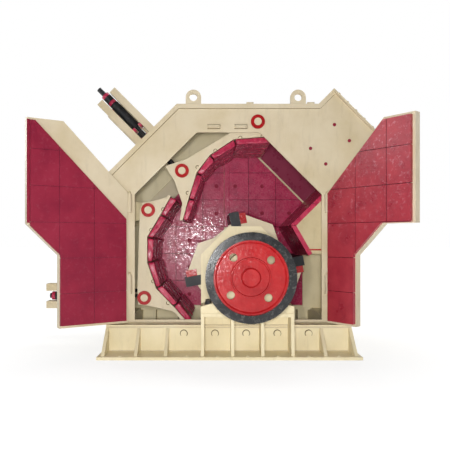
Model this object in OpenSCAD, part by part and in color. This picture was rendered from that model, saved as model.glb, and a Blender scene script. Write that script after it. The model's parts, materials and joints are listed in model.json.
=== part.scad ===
// Horizontal shaft impact crusher with its two near side doors swung open.
// Millimetres, +X to the feed end, +Y away from the drive side, +Z up,
// origin on the floor under the middle of the housing.

/* [Housing] */
// Thickness of the side, end and shaft plates
wall_t = 20; // [14:1:28]
// Half of the length over the two end walls
housing_half_l = 1080; // [1060:2:1120]
// Height of the flat roof
roof_z = 2260; // [2235:1:2300]
// Distance of the left eave, where the sloping roof starts, below the flat roof
eave_drop = 607; // [580:1:640]
// Thickness of the roof plates, seen as a strip along the top edges
roof_t = 40; // [25:1:45]
// How far the roof plates stand proud of the side walls
roof_lip = 15; // [5:1:30]
// Distance from the feed end wall to where the flat roof turns up
roof_break_in = 250; // [230:1:270]
// Distance from the feed end wall to the upper lip of the feed mouth
mouth_top_in = 125; // [110:1:150]
// Length of the feed mouth along its 45 degree face
mouth_l = 650; // [620:1:680]
// Thickness of the feed floor plate
floor_t = 30; // [20:1:40]
// Width of the flange round the feed mouth
mouth_flange_w = 60; // [45:1:80]
// Thickness of the flange round the feed mouth
mouth_flange_t = 18; // [10:1:25]
// Gap between the feed wedge and the tiles of the closed doors
wedge_side_gap = 5; // [5:0.5:10]
// Gap between the feed wedge's liners and the blow bars
wedge_gap = 25; // [20:1:35]
// Slope of the feed wedge's face, measured at its normal
wedge_angle = 30; // [28:0.5:32]
// Height of the feed wedge's foot above the rotor axis
wedge_foot_rise = 165; // [155:1:175]
// Thickness of the liners on the feed floor and wedge
feed_block_t = 40; // [30:1:45]
// Number of liner blocks along the feed floor
feed_block_count = 4; // [2:1:6]
// Thickness of the cheek liners beside the feed
cheek_t = 14; // [10:1:15]
// Bare margin round the cheek liners
cheek_margin = 12; // [8:1:20]
// Left end of the cheek liners
cheek_x = 370; // [360:1:400]
// Fit of pieces that seat on a sloping face
fit_gap = 0.1; // [0.05:0.05:0.3]

/* [Side opening] */
// Distance of the opening in each side wall from the end walls
opening_in = 220; // [205:1:240]
// Bottom edge of the opening
opening_bottom_z = 278; // [274:1:290]
// Distance of the opening's top edge below the flat roof
opening_top_drop = 260; // [255:1:300]
// Height of the opening's two 45 degree edges
opening_slope_h = 570; // [560:1:590]

/* [Doors] */
// How far a closed door laps over the wall round the opening
door_lap = 15; // [12:1:18]
// Gap between a closed door and the wall face
door_seat_gap = 6; // [6:0.5:10]
// Thickness of the door plate
door_t = 20; // [12:1:25]
// Depth of the rim that stiffens the door's edges
rim_depth = 45; // [30:1:50]
// Thickness of the rim
rim_t = 16; // [8:1:24]
// Where the two closed doors meet
door_meet_x = 10; // [4:1:30]
// Gap between the two closed doors
door_meet_gap = 14; // [12:1:20]
// How far the left door stands open
left_door_open = 148.5; // [0:0.5:165]
// How far the right door stands open
right_door_open = 129; // [0:0.5:165]
// Distance of the hinge axis from the wall face
hinge_out = 45; // [43:1:50]
// Distance of the hinge axis from the edge of the opening
hinge_side = 45; // [43:1:55]
// Radius of a hinge knuckle
knuckle_r = 26; // [20:1:27]
// Radius of a hinge pin
hinge_pin_r = 12; // [8:1:16]
// Height of one knuckle, two of which make a hinge
knuckle_h = 85; // [60:1:110]
// Thickness of the arms that carry the knuckles
hinge_arm_t = 28; // [20:1:32]
// How far a hinge pin stands above its knuckles
pin_stand = 12; // [8:1:16]
// Gap between the two knuckles of a hinge
knuckle_gap = 0.5; // [0.3:0.1:1]
// Width of the strip over the joint of the far doors
strip_w = 70; // [50:1:90]
// Thickness of the strip over the joint of the far doors
strip_t = 10; // [6:1:14]
// Foot of the lower hinge
lower_hinge_z = 520; // [420:5:600]
// Foot of the upper hinge
upper_hinge_z = 1260; // [1100:5:1265]

/* [Liner tiles] */
// Pitch of the square liner tiles
tile_pitch = 300; // [260:5:340]
// Thickness of a liner tile
tile_t = 30; // [20:1:36]
// Joint between two tiles
tile_joint = 5; // [3:0.5:8]
// Gap between the door tiles and the edge of the opening
tile_edge_gap = 8; // [7:0.5:14]
// Height of the joint under the lowest full row of tiles
tile_foot_z = 260; // [240:5:280]
// Offset of the left door's bare margin, measured up its 45 degree edge
bare_margin = 2050; // [2030:5:2070]

/* [Shaft plates] */
// Half width of the fixed plate round the shaft
shaft_plate_half_w = 405; // [395:1:415]
// Height where the shaft plate's sides turn in at 45 degrees
shaft_plate_shoulder_z = 876; // [850:1:900]
// Size of the shaft plate's two upper chamfers
shaft_plate_chamfer = 260; // [220:1:280]
// Gap between the shaft plate and the notch in the doors
notch_gap = 10; // [10:0.5:14]
// Extra gap at the tiles round the notch
notch_tile_gap = 5; // [4:0.5:9]
// Radius of the shaft hole in the shaft plate
shaft_hole_r = 100; // [95:1:115]

/* [Rotor] */
// Rotor axis, measured from the middle of the housing
rotor_x = 155; // [150:1:160]
// Height of the rotor axis
rotor_z = 718; // [716:1:722]
// Radius of the circle swept by the blow bars
rotor_tip_r = 560; // [545:1:565]
// Length of the rotor body
rotor_l = 940; // [880:2:960]
// Gap between the rotor's end and the side wall
rotor_side_gap = 40; // [38:1:60]
// Number of rotor discs
disc_count = 5; // [3:1:6]
// Thickness of a rotor disc
disc_t = 70; // [50:1:90]
// Turn of the rotor as it stands
rotor_turn = 10.6; // [0:0.1:30]
// Thickness of a blow bar
bar_t = 90; // [70:1:100]
// Radial depth of a blow bar
bar_depth = 230; // [190:1:250]
// Thickness of a clamping wedge
wedge_t = 60; // [40:1:70]
// Radial depth of a clamping wedge
wedge_depth = 100; // [70:1:110]
// How far the wedges lie inside the tip circle
wedge_sink = 20; // [10:1:35]
// Steel left beside a blow bar in the discs
lip_t = 22; // [15:1:28]
// How far the disc arms lie inside the tip circle
arm_sink = 45; // [40:1:55]
// Fit of the blow bars and wedges in the discs
bar_clear = 0.5; // [0.4:0.1:1]
// Radius of the tube between the discs
rotor_tube_r = 210; // [170:1:230]
// Radius of the shaft in the rotor
shaft_r = 85; // [80:1:90]
// Radius of the shaft in the bearings
journal_r = 75; // [65:1:78]
// Radius of the shaft in the pulley
pulley_seat_r = 62; // [50:1:64]
// How far each step of the shaft runs past what it carries
shaft_step = 30; // [20:1:38]
// Clearance round the shaft in the rotor discs, pulley and bearings
shaft_clear = 0.3; // [0.3:0.05:0.8]

/* [Pulley] */
// Outside diameter of the belt pulley
pulley_d = 704; // [640:2:720]
// Width of the pulley rim
pulley_w = 200; // [160:2:240]
// Wall of the pulley rim
pulley_rim_t = 62; // [45:1:70]
// Number of belt grooves
groove_count = 6; // [3:1:7]
// Depth of a belt groove
groove_depth = 20; // [12:1:26]
// How far the web lies behind the pulley's front face
web_recess = 40; // [36:1:60]
// Thickness of the pulley web
web_t = 36; // [24:1:50]
// Width of the raised lip round the web
web_lip_w = 24; // [16:1:30]
// Height of the raised lip and ring on the web
web_lip_h = 14; // [8:1:20]
// Radius of the raised ring on the web
web_ring_r = 142; // [135:1:160]
// Width of the raised ring
web_ring_w = 16; // [10:1:24]
// Radius of the pulley hub behind the web
hub_r = 110; // [95:1:115]
// Radius of the cap over the shaft's end
hub_cap_r = 78; // [72:1:90]
// Height of the cap over the shaft's end
hub_cap_h = 28; // [20:1:32]
// Radius of the holes in the web
web_hole_r = 32; // [20:1:36]
// Radius of the circle that the web holes lie on
web_hole_circle_r = 207; // [200:1:220]
// Turn of the web holes as the rotor stands
web_hole_turn = 41; // [0:1:89]
// Gap between the front bearing and the back of the pulley
pulley_gap = 270; // [200:5:320]

/* [Bearings] */
// Half width of a bearing foot
bearing_foot_half_w = 400; // [380:1:402]
// Height of the seat that carries a bearing
bearing_seat_z = 382; // [370:1:400]
// Height of a bearing foot
bearing_foot_h = 100; // [70:1:110]
// Length of a bearing block along the shaft
bearing_l = 240; // [200:2:260]
// Radius of the bearing housing
bearing_r = 190; // [160:1:205]
// Height of the foot's outer edges
bearing_edge_h = 60; // [40:1:64]
// How far the round end covers stand proud of the bearing block
cover_t = 15; // [8:1:18]
// Gap between the closed doors and the bearing block
bearing_door_gap = 39; // [30:1:60]

/* [Base] */
// Height of the base frame
base_h = 255; // [245:1:258]
// How far the base flange reaches beyond the end walls
base_end_out = 40; // [30:1:60]
// How far the base flange reaches beyond the bearing blocks
base_side_out = 80; // [60:1:100]
// How far the base flange reaches inside the side walls
base_side_in = 70; // [50:1:80]
// Thickness of the base flange
flange_t = 25; // [20:1:32]
// Thickness of the base's top plate
top_plate_t = 20; // [12:1:26]
// How far the top plate stands proud of the base web
top_plate_lip = 5; // [2:0.5:10]
// Distance of the base web from the face of the side wall
base_web_out = 165; // [150:1:175]
// Thickness of the base web
base_web_t = 20; // [12:1:24]
// Thickness of the base's ribs
rib_t = 28; // [18:1:32]
// Distance of the ribs' feet from the edge of the flange
rib_foot_in = 40; // [30:1:50]
// Distance of the end ribs from the end of the flange
rib_end_in = 30; // [25:1:40]
// Half width of the raised bearing pedestal
pedestal_half_w = 398; // [390:1:400]
// Thickness of the bearing seat
seat_t = 32; // [24:1:40]
// Distance of the bearing seat inside the ribs' feet
seat_in = 30; // [20:1:34]
// Gap between the closed doors and the bearing pedestal
pedestal_gap = 9; // [6:0.5:15]
// Width of a cross member
cross_w = 120; // [100:2:140]
// Radius of the anchor holes
anchor_r = 17; // [10:0.5:22]
// Pitch of the anchor holes round the bearing pedestal
anchor_pitch = 258; // [250:1:262]
// Distance of the end anchor holes from the end of the flange
anchor_end_in = 190; // [170:2:200]
// Distance of the anchor holes from the flange's side edge
anchor_edge = 45; // [35:1:55]
// Radius of the round heads on the base web
tie_r = 28; // [20:1:34]
// How far the round heads stand out of the base web
tie_h = 14; // [8:1:20]
// Pitch of the round heads
tie_pitch = 277; // [260:1:282]
// Height of the round heads
tie_z = 180; // [160:1:190]

/* [Aprons] */
// Thickness of the apron liner blocks
block_t = 65; // [50:1:70]
// Joint between two apron liner blocks
block_joint = 4; // [2:0.5:8]
// Gap between the aprons and the side walls
apron_side_gap = 55; // [48:1:65]
// Thickness of the apron's face plate and ribs
apron_plate_t = 28; // [20:1:30]
// Radius of the apron pins and pivot shafts
pin_r = 34; // [30:0.5:36]
// Running clearance round the pins
pin_clear = 0.3; // [0.3:0.05:0.6]
// Outside radius of the collars on the pins
collar_r = 65; // [55:1:68]
// Thickness of the collars on the pins
collar_t = 16; // [10:1:22]
// How far the pins run past what they carry
pin_stand_out = 6; // [4:0.5:10]
// Wall of the apron's bosses round the pivot shaft
boss_wall = 41; // [30:1:45]
// Wall of the lugs and eyes round the rod pins
eye_wall = 22; // [16:1:26]
// Gap beside the rod's eye
eye_gap = 3; // [2:0.5:5]
// Primary apron pivot, measured from the middle of the housing
primary_pivot_x = 272; // [265:1:280]
// Distance of the primary apron pivot below the flat roof
primary_pivot_drop = 163; // [155:1:165]
// Distance of the primary apron's rod pin from its pivot, along the machine
primary_pin_run = 702; // [698:1:706]
// Distance of the primary apron's rod pin below its pivot
primary_pin_drop = 441; // [438:1:444]
// Distance of the secondary apron pivot from the left end wall's face
secondary_pivot_in = 335; // [325:1:340]
// Distance of the secondary apron pivot below the left eave
secondary_pivot_drop = 363; // [355:1:370]
// Distance of the secondary apron's rod pin from the left end wall's face
secondary_pin_in = 299; // [295:1:303]
// Height of the secondary apron's rod pin
secondary_pin_z = 471; // [468:1:474]

/* [Adjusters] */
// Distance of the adjuster rods from the middle plane
rod_y = 250; // [220:2:280]
// Radius of an adjuster rod
rod_r = 18; // [14:0.5:20]
// Thickness of the rod's eye
rod_eye_t = 44; // [30:1:50]
// Length of the rails on the roof
top_rail_l = 590; // [560:5:600]
// Length of the rails on the left end wall
left_rail_l = 665; // [630:5:680]
// Width of a rail
rail_w = 68; // [55:1:75]
// Clear gap between the two rails
rail_gap = 100; // [98:1:110]
// Depth of the rails across the machine
rail_depth = 110; // [96:1:120]
// Thickness of the plate that ties the rails and carries the spring
spring_plate_t = 30; // [20:1:40]
// Distance of the spring's foot from the plate that the rails stand on
spring_foot = 180; // [170:1:200]
// Outside radius of the spring tube
spring_r = 44; // [40:0.5:46]
// Length of the spring tube
spring_l = 315; // [280:5:330]
// How far the roof's rods run past the spring
top_rod_tail = 205; // [180:5:220]
// How far the end wall's rods run past the spring
left_rod_tail = 145; // [140:5:200]
// Radius of the rods' ends beyond the spring
tail_r = 24; // [20:1:28]
// Radius of the two collars on a rod
rod_collar_r = 40; // [36:1:42]
// Height of the two collars on a rod
rod_collar_h = 34; // [26:1:36]
// Gap between a rod and the plates that it passes
rod_pass_gap = 20; // [16:1:24]
// Gap between a rod and its guide in the spring's plate
rod_guide_gap = 5; // [4:0.5:6]
// Radius over the corners of the nut between the collars
nut_r = 46; // [40:1:47]
// Height of the nut between the collars
nut_h = 56; // [46:1:58]
// Thickness of the secondary pivot brackets
bracket_t = 40; // [24:1:48]

/* [Lifting lugs] */
// Distance of the left lugs from the middle of the housing
lug_left = 320; // [300:1:340]
// Distance of the right lugs from the middle of the housing
lug_right = 642; // [620:1:660]
// Outside radius of a lifting lug
lug_r = 71; // [60:1:80]
// Radius of a lug's eye
lug_hole_r = 34; // [25:0.5:38]
// Thickness of a lug
lug_t = 30; // [20:1:40]
// Height of a lug's eye above the roof
lug_rise = 60; // [50:1:90]

/* [Hidden] */
$fn = 64;
root2 = sqrt(2);

// Planes across the machine, the near side being negative
inside_w = rotor_l + 2 * rotor_side_gap;
wall_in = inside_w / 2;
wall_out = wall_in + wall_t;
roof_half_w = wall_out + roof_lip;
door_in = wall_out + door_seat_gap;
door_out = door_in + door_t + rim_depth;
bearing_y = door_out + bearing_door_gap + bearing_l / 2;
pulley_back = bearing_y + bearing_l / 2 + pulley_gap;
pulley_front = pulley_back + pulley_w;
apron_half_w = wall_in - apron_side_gap;
pin_half_l = apron_half_w + collar_t + pin_stand_out;
pedestal_in = door_out + pedestal_gap;
base_web_y = wall_out + base_web_out;
base_half_w = bearing_y + bearing_l / 2 + base_side_out;
base_half_l = housing_half_l + base_end_out;

// Levels and lengths that the base's pieces share
rib_top = base_h - top_plate_t;
seat_low = bearing_seat_z - seat_t;
rib_foot = base_half_w - rib_foot_in;
seat_out = rib_foot - seat_in;
rib_end = base_half_l - rib_end_in;
top_out = base_web_y + top_plate_lip;
top_in = wall_in - top_plate_t / 2;
web_back = base_web_y - base_web_t;
anchor_end_x = base_half_l - anchor_end_in;
anchor_x = concat([-anchor_end_x, anchor_end_x], [for (i = [-2 : 2]) rotor_x + i * anchor_pitch]);

// Ribs along the base: two to the left of the pedestal, one to its right, one at each end
tall_rib_half = pedestal_half_w - rib_t / 2;
tall_rib_x = [for (i = [-1, -1 / 3, 1 / 3, 1]) rotor_x + i * tall_rib_half];
end_rib_x = rib_end - rib_t / 2;
left_bays = rotor_x - tall_rib_half + end_rib_x;
right_bays = end_rib_x - rotor_x - tall_rib_half;
low_rib_x = [-end_rib_x, 0.33 * left_bays - end_rib_x, 0.63 * left_bays - end_rib_x,
    end_rib_x - 0.48 * right_bays, end_rib_x];

// Side view outline of the housing: eave, roof breaks and feed mouth
slope_dir = [1, 1] / root2;
mouth_dir = [1, -1] / root2;
roof_break_x = housing_half_l - roof_break_in;
mouth_top_x = housing_half_l - mouth_top_in;
eave_z = roof_z - eave_drop;
eave = [-housing_half_l, eave_z] - roof_t * slope_dir;
roof_left = [eave_drop - housing_half_l, roof_z];
roof_break = [roof_break_x, roof_z];
mouth_top = [mouth_top_x, roof_z + mouth_top_x - roof_break_x];
mouth_low = mouth_top + mouth_l * mouth_dir;
floor_line = mouth_low[1] - mouth_low[0];
roof_path = [eave, roof_left, roof_break, mouth_top];
wall_top = shifted(roof_path, -roof_t);
wall_outline = concat(
    [[-housing_half_l, base_h]],
    wall_top,
    [mouth_low, [housing_half_l, housing_half_l + floor_line], [housing_half_l, base_h]]);

// Side opening, doors and their hinges
opening_half_w = housing_half_l - opening_in;
opening_top_z = roof_z - opening_top_drop;
opening_shoulder_z = opening_top_z - opening_slope_h;
hinge_x = opening_half_w + hinge_side;
hinge_y = -(wall_out + hinge_out);
door_edge_x = opening_half_w + door_lap;
hinge_feet = [lower_hinge_z, upper_hinge_z];
tile_rows = [floor(opening_bottom_z / tile_pitch) : ceil(opening_top_z / tile_pitch)];
tile_row_z = tile_foot_z - tile_pitch;
tile_columns = [0 : ceil(2 * opening_half_w / tile_pitch)];

// Rotor discs and their arms, in the frame of one blow bar
disc_pitch = (rotor_l - disc_t) / (disc_count - 1);
bar_root = rotor_tip_r - bar_depth;
wedge_top = rotor_tip_r - wedge_sink;
arm_r = rotor_tip_r - arm_sink;
quarter = [
    [-bar_t / 2 - lip_t, bar_root + 0.5 * bar_depth],
    [bar_t / 2 + wedge_t, arm_r],
    [0.6 * rotor_tip_r, 0.68 * rotor_tip_r],
    [0.64 * rotor_tip_r, 0.41 * rotor_tip_r]];
disc_outline = [for (turn = [0 : 3], p = quarter) quarter_turn(p, turn)];

// Feed wedge: its liner face keeps clear of the blow bars
wedge_low_z = rotor_z + wedge_foot_rise;
wedge_normal = [cos(wedge_angle), sin(wedge_angle)];
wedge_face = [rotor_x, rotor_z] + (rotor_tip_r + wedge_gap + feed_block_t) * wedge_normal;
wedge_dir = [-wedge_normal[1], wedge_normal[0]];
wedge_tip = crossing(mouth_low, slope_dir, wedge_face, wedge_dir);
wedge_low = crossing([0, wedge_low_z], [1, 0], wedge_face, wedge_dir);
end_wall_in = housing_half_l - wall_t;
wedge_half_w = wall_out - tile_t - wedge_side_gap;
feed_path = [mouth_low, wedge_tip, wedge_low];
feed_seat = shifted(feed_path, -fit_gap);
feed_face = shifted(feed_path, -feed_block_t);

// Cheek liners: between the opening's slope, the feed liners, the mouth and the roof
cheek_top = shifted(roof_path, -roof_t - cheek_margin);
cheek_mouth = shifted([mouth_top, mouth_low], -cheek_margin);
cheek_feed = shifted(feed_path, -feed_block_t - cheek_margin);
cheek_slope = opening_outline(cheek_margin)[3];
cheek_outline = [
    crossing(cheek_slope, mouth_dir, [cheek_x, 0], [0, 1]),
    crossing(cheek_slope, mouth_dir, cheek_feed[0], slope_dir),
    crossing(cheek_mouth[0], mouth_dir, cheek_feed[0], slope_dir),
    crossing(cheek_mouth[0], mouth_dir, cheek_top[3], slope_dir),
    cheek_top[2],
    [cheek_x, cheek_top[2][1]]];

// Apron pivots and rod pins
primary_pivot = [primary_pivot_x, roof_z - primary_pivot_drop];
primary_pin = primary_pivot - [primary_pin_run, primary_pin_drop];
secondary_pivot = [secondary_pivot_in - housing_half_l, eave_z - secondary_pivot_drop];
secondary_pin = [secondary_pin_in - housing_half_l, secondary_pin_z];
boss_r = pin_r + boss_wall;
eye_r = pin_r + eye_wall;

// Apron liner faces as [angle round the rotor axis, share of the room between the blow bars and the
// primary pivot's height, or between the blow bars and the end wall]
primary_room = primary_pivot[1] - rotor_z - rotor_tip_r;
primary_face = spiral(primary_room, [[78, 0.8132], [93.7, 0.7509], [105, 0.63], [113.7, 0.503],
    [124.9, 0.3004], [138.2, 0.1624]]);
secondary_room = housing_half_l + rotor_x - rotor_tip_r;
secondary_face = spiral(secondary_room, [[133.4, 0.5363], [145.6, 0.48], [160.3, 0.5023], [173.8, 0.4297],
    [189.4, 0.3274], [205, 0.1778], [223, 0.1363]]);

// Apron back outlines as [angle round the pivot, distance over the pin's distance]
primary_back = around(primary_pivot, primary_pin, [[126.87, 0.0905], [198.71, 0.3197], [206.67, 0.8977],
    [204.7, 1.1432], [214.77, 1.1337], [226.63, 1.2296], [231.42, 1.3965]]);
secondary_back = around(secondary_pivot, secondary_pin, [[62.1, 0.1173], [128.16, 0.1086], [200.56, 0.1042],
    [262.08, 0.8941], [263.79, 1.0822], [269.36, 1.0869], [283.39, 1.1849]]);

// Adjusters: the rods leave the pins square to the plates that they pass
top_rail_foot = crossing(primary_pin, -mouth_dir, roof_left, slope_dir);
top_rod_run = norm(top_rail_foot - primary_pin);
left_rod_run = secondary_pin[0] + housing_half_l;
rod_hole_r = rod_r + rod_pass_gap;
rod_guide_r = rod_r + rod_guide_gap;

// Unit normal on the left of the way from p to q
function left_normal(p, q) = [p[1] - q[1], q[0] - p[0]] / norm(q - p);

// Path moved sideways by t to its left, with mitred corners and square ends
function shifted(path, t) =
    let (last = len(path) - 1)
    [for (i = [0 : last])
        let (
            before = left_normal(path[max(i - 1, 0)], path[max(i, 1)]),
            after = left_normal(path[min(i, last - 1)], path[min(i + 1, last)]))
        path[i] + t * (before + after) / (1 + before * after)];

// Point where the line through p along d meets the line through q along e
function crossing(p, d, q, e) =
    let (gap = q - p, t = (gap[0] * e[1] - gap[1] * e[0]) / (d[0] * e[1] - d[1] * e[0]))
    p + t * d;

// Points given by their angle round the rotor axis and their gap to the blow bars over a room
function spiral(room, stations) =
    [for (s = stations) [rotor_x, rotor_z] + (rotor_tip_r + room * s[1]) * [cos(s[0]), sin(s[0])]];

// Points given by their angle round a pivot and their distance over the pin's distance
function around(pivot, pin, stations) =
    [for (s = stations) pivot + norm(pin - pivot) * s[1] * [cos(s[0]), sin(s[0])]];

function quarter_turn(p, turn) =
    [p[0] * cos(90 * turn) + p[1] * sin(90 * turn), p[1] * cos(90 * turn) - p[0] * sin(90 * turn)];

// Point between p and q, at the given share of the way
function between(p, q, share) = p + share * (q - p);

// Liner block between two points of its seat and two of its face, short of both ends by half a joint
function block_outline(seat, face) =
    let (along = (face[1] - face[0]) / norm(face[1] - face[0]) * block_joint / 2)
    [face[0] + along, face[1] - along, seat[1] - along, seat[0] + along];

function reversed(path) = [for (i = [len(path) - 1 : -1 : 0]) path[i]];

// The side opening, grown on all sides
function opening_outline(grow) =
    let (
        w = opening_half_w + grow,
        low = opening_bottom_z - grow,
        shoulder = opening_shoulder_z + grow * (root2 - 1),
        top = opening_top_z + grow,
        top_w = w - (top - shoulder))
    [[-w, low], [w, low], [w, shoulder], [top_w, top], [-top_w, top], [-w, shoulder]];

// The shaft plate, grown on its sides and top
function shaft_plate_outline(grow, low) =
    let (
        w = shaft_plate_half_w + grow,
        shoulder = shaft_plate_shoulder_z + grow * (root2 - 1),
        top = shaft_plate_shoulder_z + shaft_plate_chamfer + grow,
        top_w = w - (top - shoulder))
    [for (p = [[-w, low], [w, low], [w, shoulder], [top_w, top], [-top_w, top], [-w, shoulder]])
        p + [rotor_x, 0]];

// Plate with its outline in X and Z, between two planes across the machine
module side_plate(y0, y1) {
    translate([0, y1, 0]) rotate([90, 0, 0]) linear_extrude(y1 - y0) children();
}

// Round bar across the machine
module cross_bar(at, r, y0, y1) {
    translate([at[0], y0, at[1]]) rotate([-90, 0, 0]) cylinder(r = r, h = y1 - y0);
}

module cream() { color([0.84, 0.78, 0.65]) children(); }
module crimson() { color([0.59, 0.15, 0.24]) children(); }
module signal_red() { color([0.84, 0.17, 0.16]) children(); }
module black_steel() { color([0.16, 0.16, 0.19]) children(); }
module bright_steel() { color([0.62, 0.62, 0.62]) children(); }

// Gusset in Y and Z at one place along the base
module rib(x, outline) {
    translate([x - rib_t / 2, 0, 0]) rotate([90, 0, 90]) linear_extrude(rib_t) polygon(outline);
}

// Flange, web, top plate and bearing pedestal of the near side
module base_side() {
    difference() {
        translate([-base_half_l, -base_half_w, 0])
            cube([2 * base_half_l, base_half_w - wall_in + base_side_in, flange_t]);
        for (x = anchor_x)
            translate([x, anchor_edge - base_half_w, -1]) cylinder(r = anchor_r, h = flange_t + 2);
    }
    translate([-rib_end, -base_web_y, flange_t]) cube([2 * rib_end, base_web_t, rib_top - flange_t]);
    translate([-rib_end, -top_out, rib_top]) cube([2 * rib_end, top_out - top_in, top_plate_t]);
    translate([rotor_x - pedestal_half_w, -base_web_y, base_h])
        cube([2 * pedestal_half_w, base_web_t, seat_low - base_h]);
    translate([rotor_x - pedestal_half_w, -pedestal_in - base_web_t, base_h])
        cube([2 * pedestal_half_w, base_web_t, seat_low - base_h]);
    translate([rotor_x - bearing_foot_half_w, -seat_out, seat_low])
        cube([2 * bearing_foot_half_w, seat_out - pedestal_in, seat_t]);
    for (i = [-2 : 2])
        cross_bar([rotor_x + i * tie_pitch, tie_z], tie_r, -base_web_y - tie_h, -base_web_y);
}

module base_frame_near() {
    cream() base_side();
}

module base_frame_far() {
    cream() mirror([0, 1, 0]) base_side();
}

// Ribs before and behind the web: low ones along the base, tall ones under the bearing seat
module base_ribs() {
    low_rib = [[-base_web_y, flange_t], [-base_web_y, rib_top], [-top_out, rib_top], [-rib_foot, flange_t]];
    tall_rib = [[-base_web_y, base_h], [-base_web_y, seat_low], [-seat_out, seat_low],
        [-rib_foot, flange_t], [-base_web_y, flange_t], [-base_web_y, rib_top],
        [-top_out, rib_top], [-top_out, base_h]];
    back_rib = [[-web_back, flange_t], [-web_back, rib_top], [-wall_in, rib_top], [-wall_in, flange_t]];
    cream() for (side = [0, 1]) mirror([0, side, 0]) {
        for (x = low_rib_x) rib(x, low_rib);
        for (x = tall_rib_x) rib(x, tall_rib);
        for (x = concat(low_rib_x, tall_rib_x)) rib(x, back_rib);
    }
}

module base_cross_members() {
    beam_end = rib_end - rib_t;
    cream() for (side = [-1, 1]) mirror([side < 0 ? 1 : 0, 0, 0]) {
        translate([beam_end - cross_w, -web_back, flange_t])
            cube([cross_w, 2 * web_back, rib_top - flange_t]);
        translate([beam_end - cross_w, -top_in, rib_top])
            cube([cross_w + rib_t, 2 * top_in, top_plate_t]);
    }
}

// Side wall with its opening and the hole for the primary pivot shaft
module side_wall() {
    difference() {
        side_plate(-wall_out, -wall_in) polygon(wall_outline);
        side_plate(-wall_out - 1, -wall_in + 1) polygon(opening_outline(0));
        cross_bar(primary_pivot, pin_r + pin_clear, -wall_out - 1, -wall_in + 1);
    }
}

module near_wall() {
    cream() side_wall();
}

module far_wall() {
    cream() mirror([0, 1, 0]) side_wall();
}

module left_wall() {
    cream() difference() {
        side_plate(-wall_in, wall_in)
            polygon([[-housing_half_l, base_h], [-end_wall_in, base_h],
                [-end_wall_in, wall_top[0][1] + wall_t], wall_top[0]]);
        for (side = [-1, 1])
            translate([-housing_half_l - 1, side * rod_y, secondary_pin[1]])
                rotate([0, 90, 0]) cylinder(r = rod_hole_r, h = wall_t + 2);
    }
}

module right_wall() {
    cream() side_plate(-wall_in, wall_in)
        polygon([[end_wall_in, base_h], [housing_half_l, base_h],
            [housing_half_l, housing_half_l + floor_line], [end_wall_in, end_wall_in + floor_line]]);
}

// One stretch of the roof between two points of its outer path
module roof_plate(first, last) {
    side_plate(-roof_half_w, roof_half_w)
        polygon(concat(
            [for (i = [first : last]) roof_path[i]],
            [for (i = [last : -1 : first]) wall_top[i]]));
}

module roof_left_slope() {
    cream() difference() {
        roof_plate(0, 1);
        for (side = [-1, 1])
            translate([primary_pin[0], side * rod_y, primary_pin[1]])
                rotate([0, -45, 0]) cylinder(r = rod_hole_r, h = top_rod_run + 1);
    }
}

module roof_top() {
    cream() roof_plate(1, 3);
}

// Frame of flat bar that stands on the feed mouth
module feed_flange() {
    half_w = roof_half_w + mouth_flange_w - roof_t;
    cream() translate([mouth_top[0], 0, mouth_top[1]]) rotate([0, 45, 0]) difference() {
        translate([0, -half_w, fit_gap]) cube([mouth_l + floor_t, 2 * half_w, mouth_flange_t]);
        translate([roof_t, -wall_in, -1])
            cube([mouth_l - roof_t - feed_block_t, inside_w, mouth_flange_t + 2]);
    }
}

module feed_floor() {
    under = shifted([mouth_low, wedge_tip], floor_t);
    foot = [housing_half_l, housing_half_l + floor_line];
    cream() side_plate(-roof_half_w, roof_half_w)
        polygon([mouth_low, foot, foot - [0, floor_t * root2], under[0]]);
}

module feed_wedge() {
    cream() side_plate(-wedge_half_w, wedge_half_w)
        polygon([[end_wall_in, end_wall_in + floor_line], wedge_tip, wedge_low,
            [end_wall_in, wedge_low_z]]);
}

// Liner blocks on the feed floor and wedge, and the cheek liners on both side walls
module feed_liners() {
    counts = [feed_block_count, 1];
    crimson() {
        for (i = [0 : 1], k = [0 : counts[i] - 1])
            side_plate(-wedge_half_w, wedge_half_w)
                polygon(block_outline(
                    [for (end = [k, k + 1]) between(feed_seat[i], feed_seat[i + 1], end / counts[i])],
                    [for (end = [k, k + 1]) between(feed_face[i], feed_face[i + 1], end / counts[i])]));
        for (side = [0, 1]) mirror([0, side, 0])
            side_plate(-wall_in, cheek_t - wall_in) polygon(cheek_outline);
    }
}

module shaft_plates() {
    cream() for (side = [0, 1]) mirror([0, side, 0]) difference() {
        side_plate(-wall_out, -wall_in) polygon(shaft_plate_outline(0, opening_bottom_z));
        cross_bar([rotor_x, rotor_z], shaft_hole_r, -wall_out - 1, -wall_in + 1);
    }
}

// Plummer block: foot, sloping cheeks and round housing
module bearing_block() {
    y0 = -bearing_y - bearing_l / 2;
    y1 = -bearing_y + bearing_l / 2;
    foot_top = bearing_seat_z + bearing_foot_h;
    edge_top = bearing_seat_z + bearing_edge_h;
    cheek_w = bearing_r * 1.25;
    half = [[bearing_foot_half_w, bearing_seat_z], [bearing_foot_half_w, edge_top],
        [cheek_w, foot_top], [bearing_r, rotor_z]];
    difference() {
        union() {
            side_plate(y0, y1) polygon([for (p = concat(half, reversed([for (q = half) [-q[0], q[1]]])))
                p + [rotor_x, 0]]);
            cross_bar([rotor_x, rotor_z], bearing_r, y0, y1);
            cross_bar([rotor_x, rotor_z], bearing_r * 0.75, y0 - cover_t, y1 + cover_t);
        }
        cross_bar([rotor_x, rotor_z], journal_r + shaft_clear, y0 - 2 * cover_t, y1 + 2 * cover_t);
    }
}

module bearing_blocks() {
    cream() for (side = [0, 1]) mirror([0, side, 0]) bearing_block();
}

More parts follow.
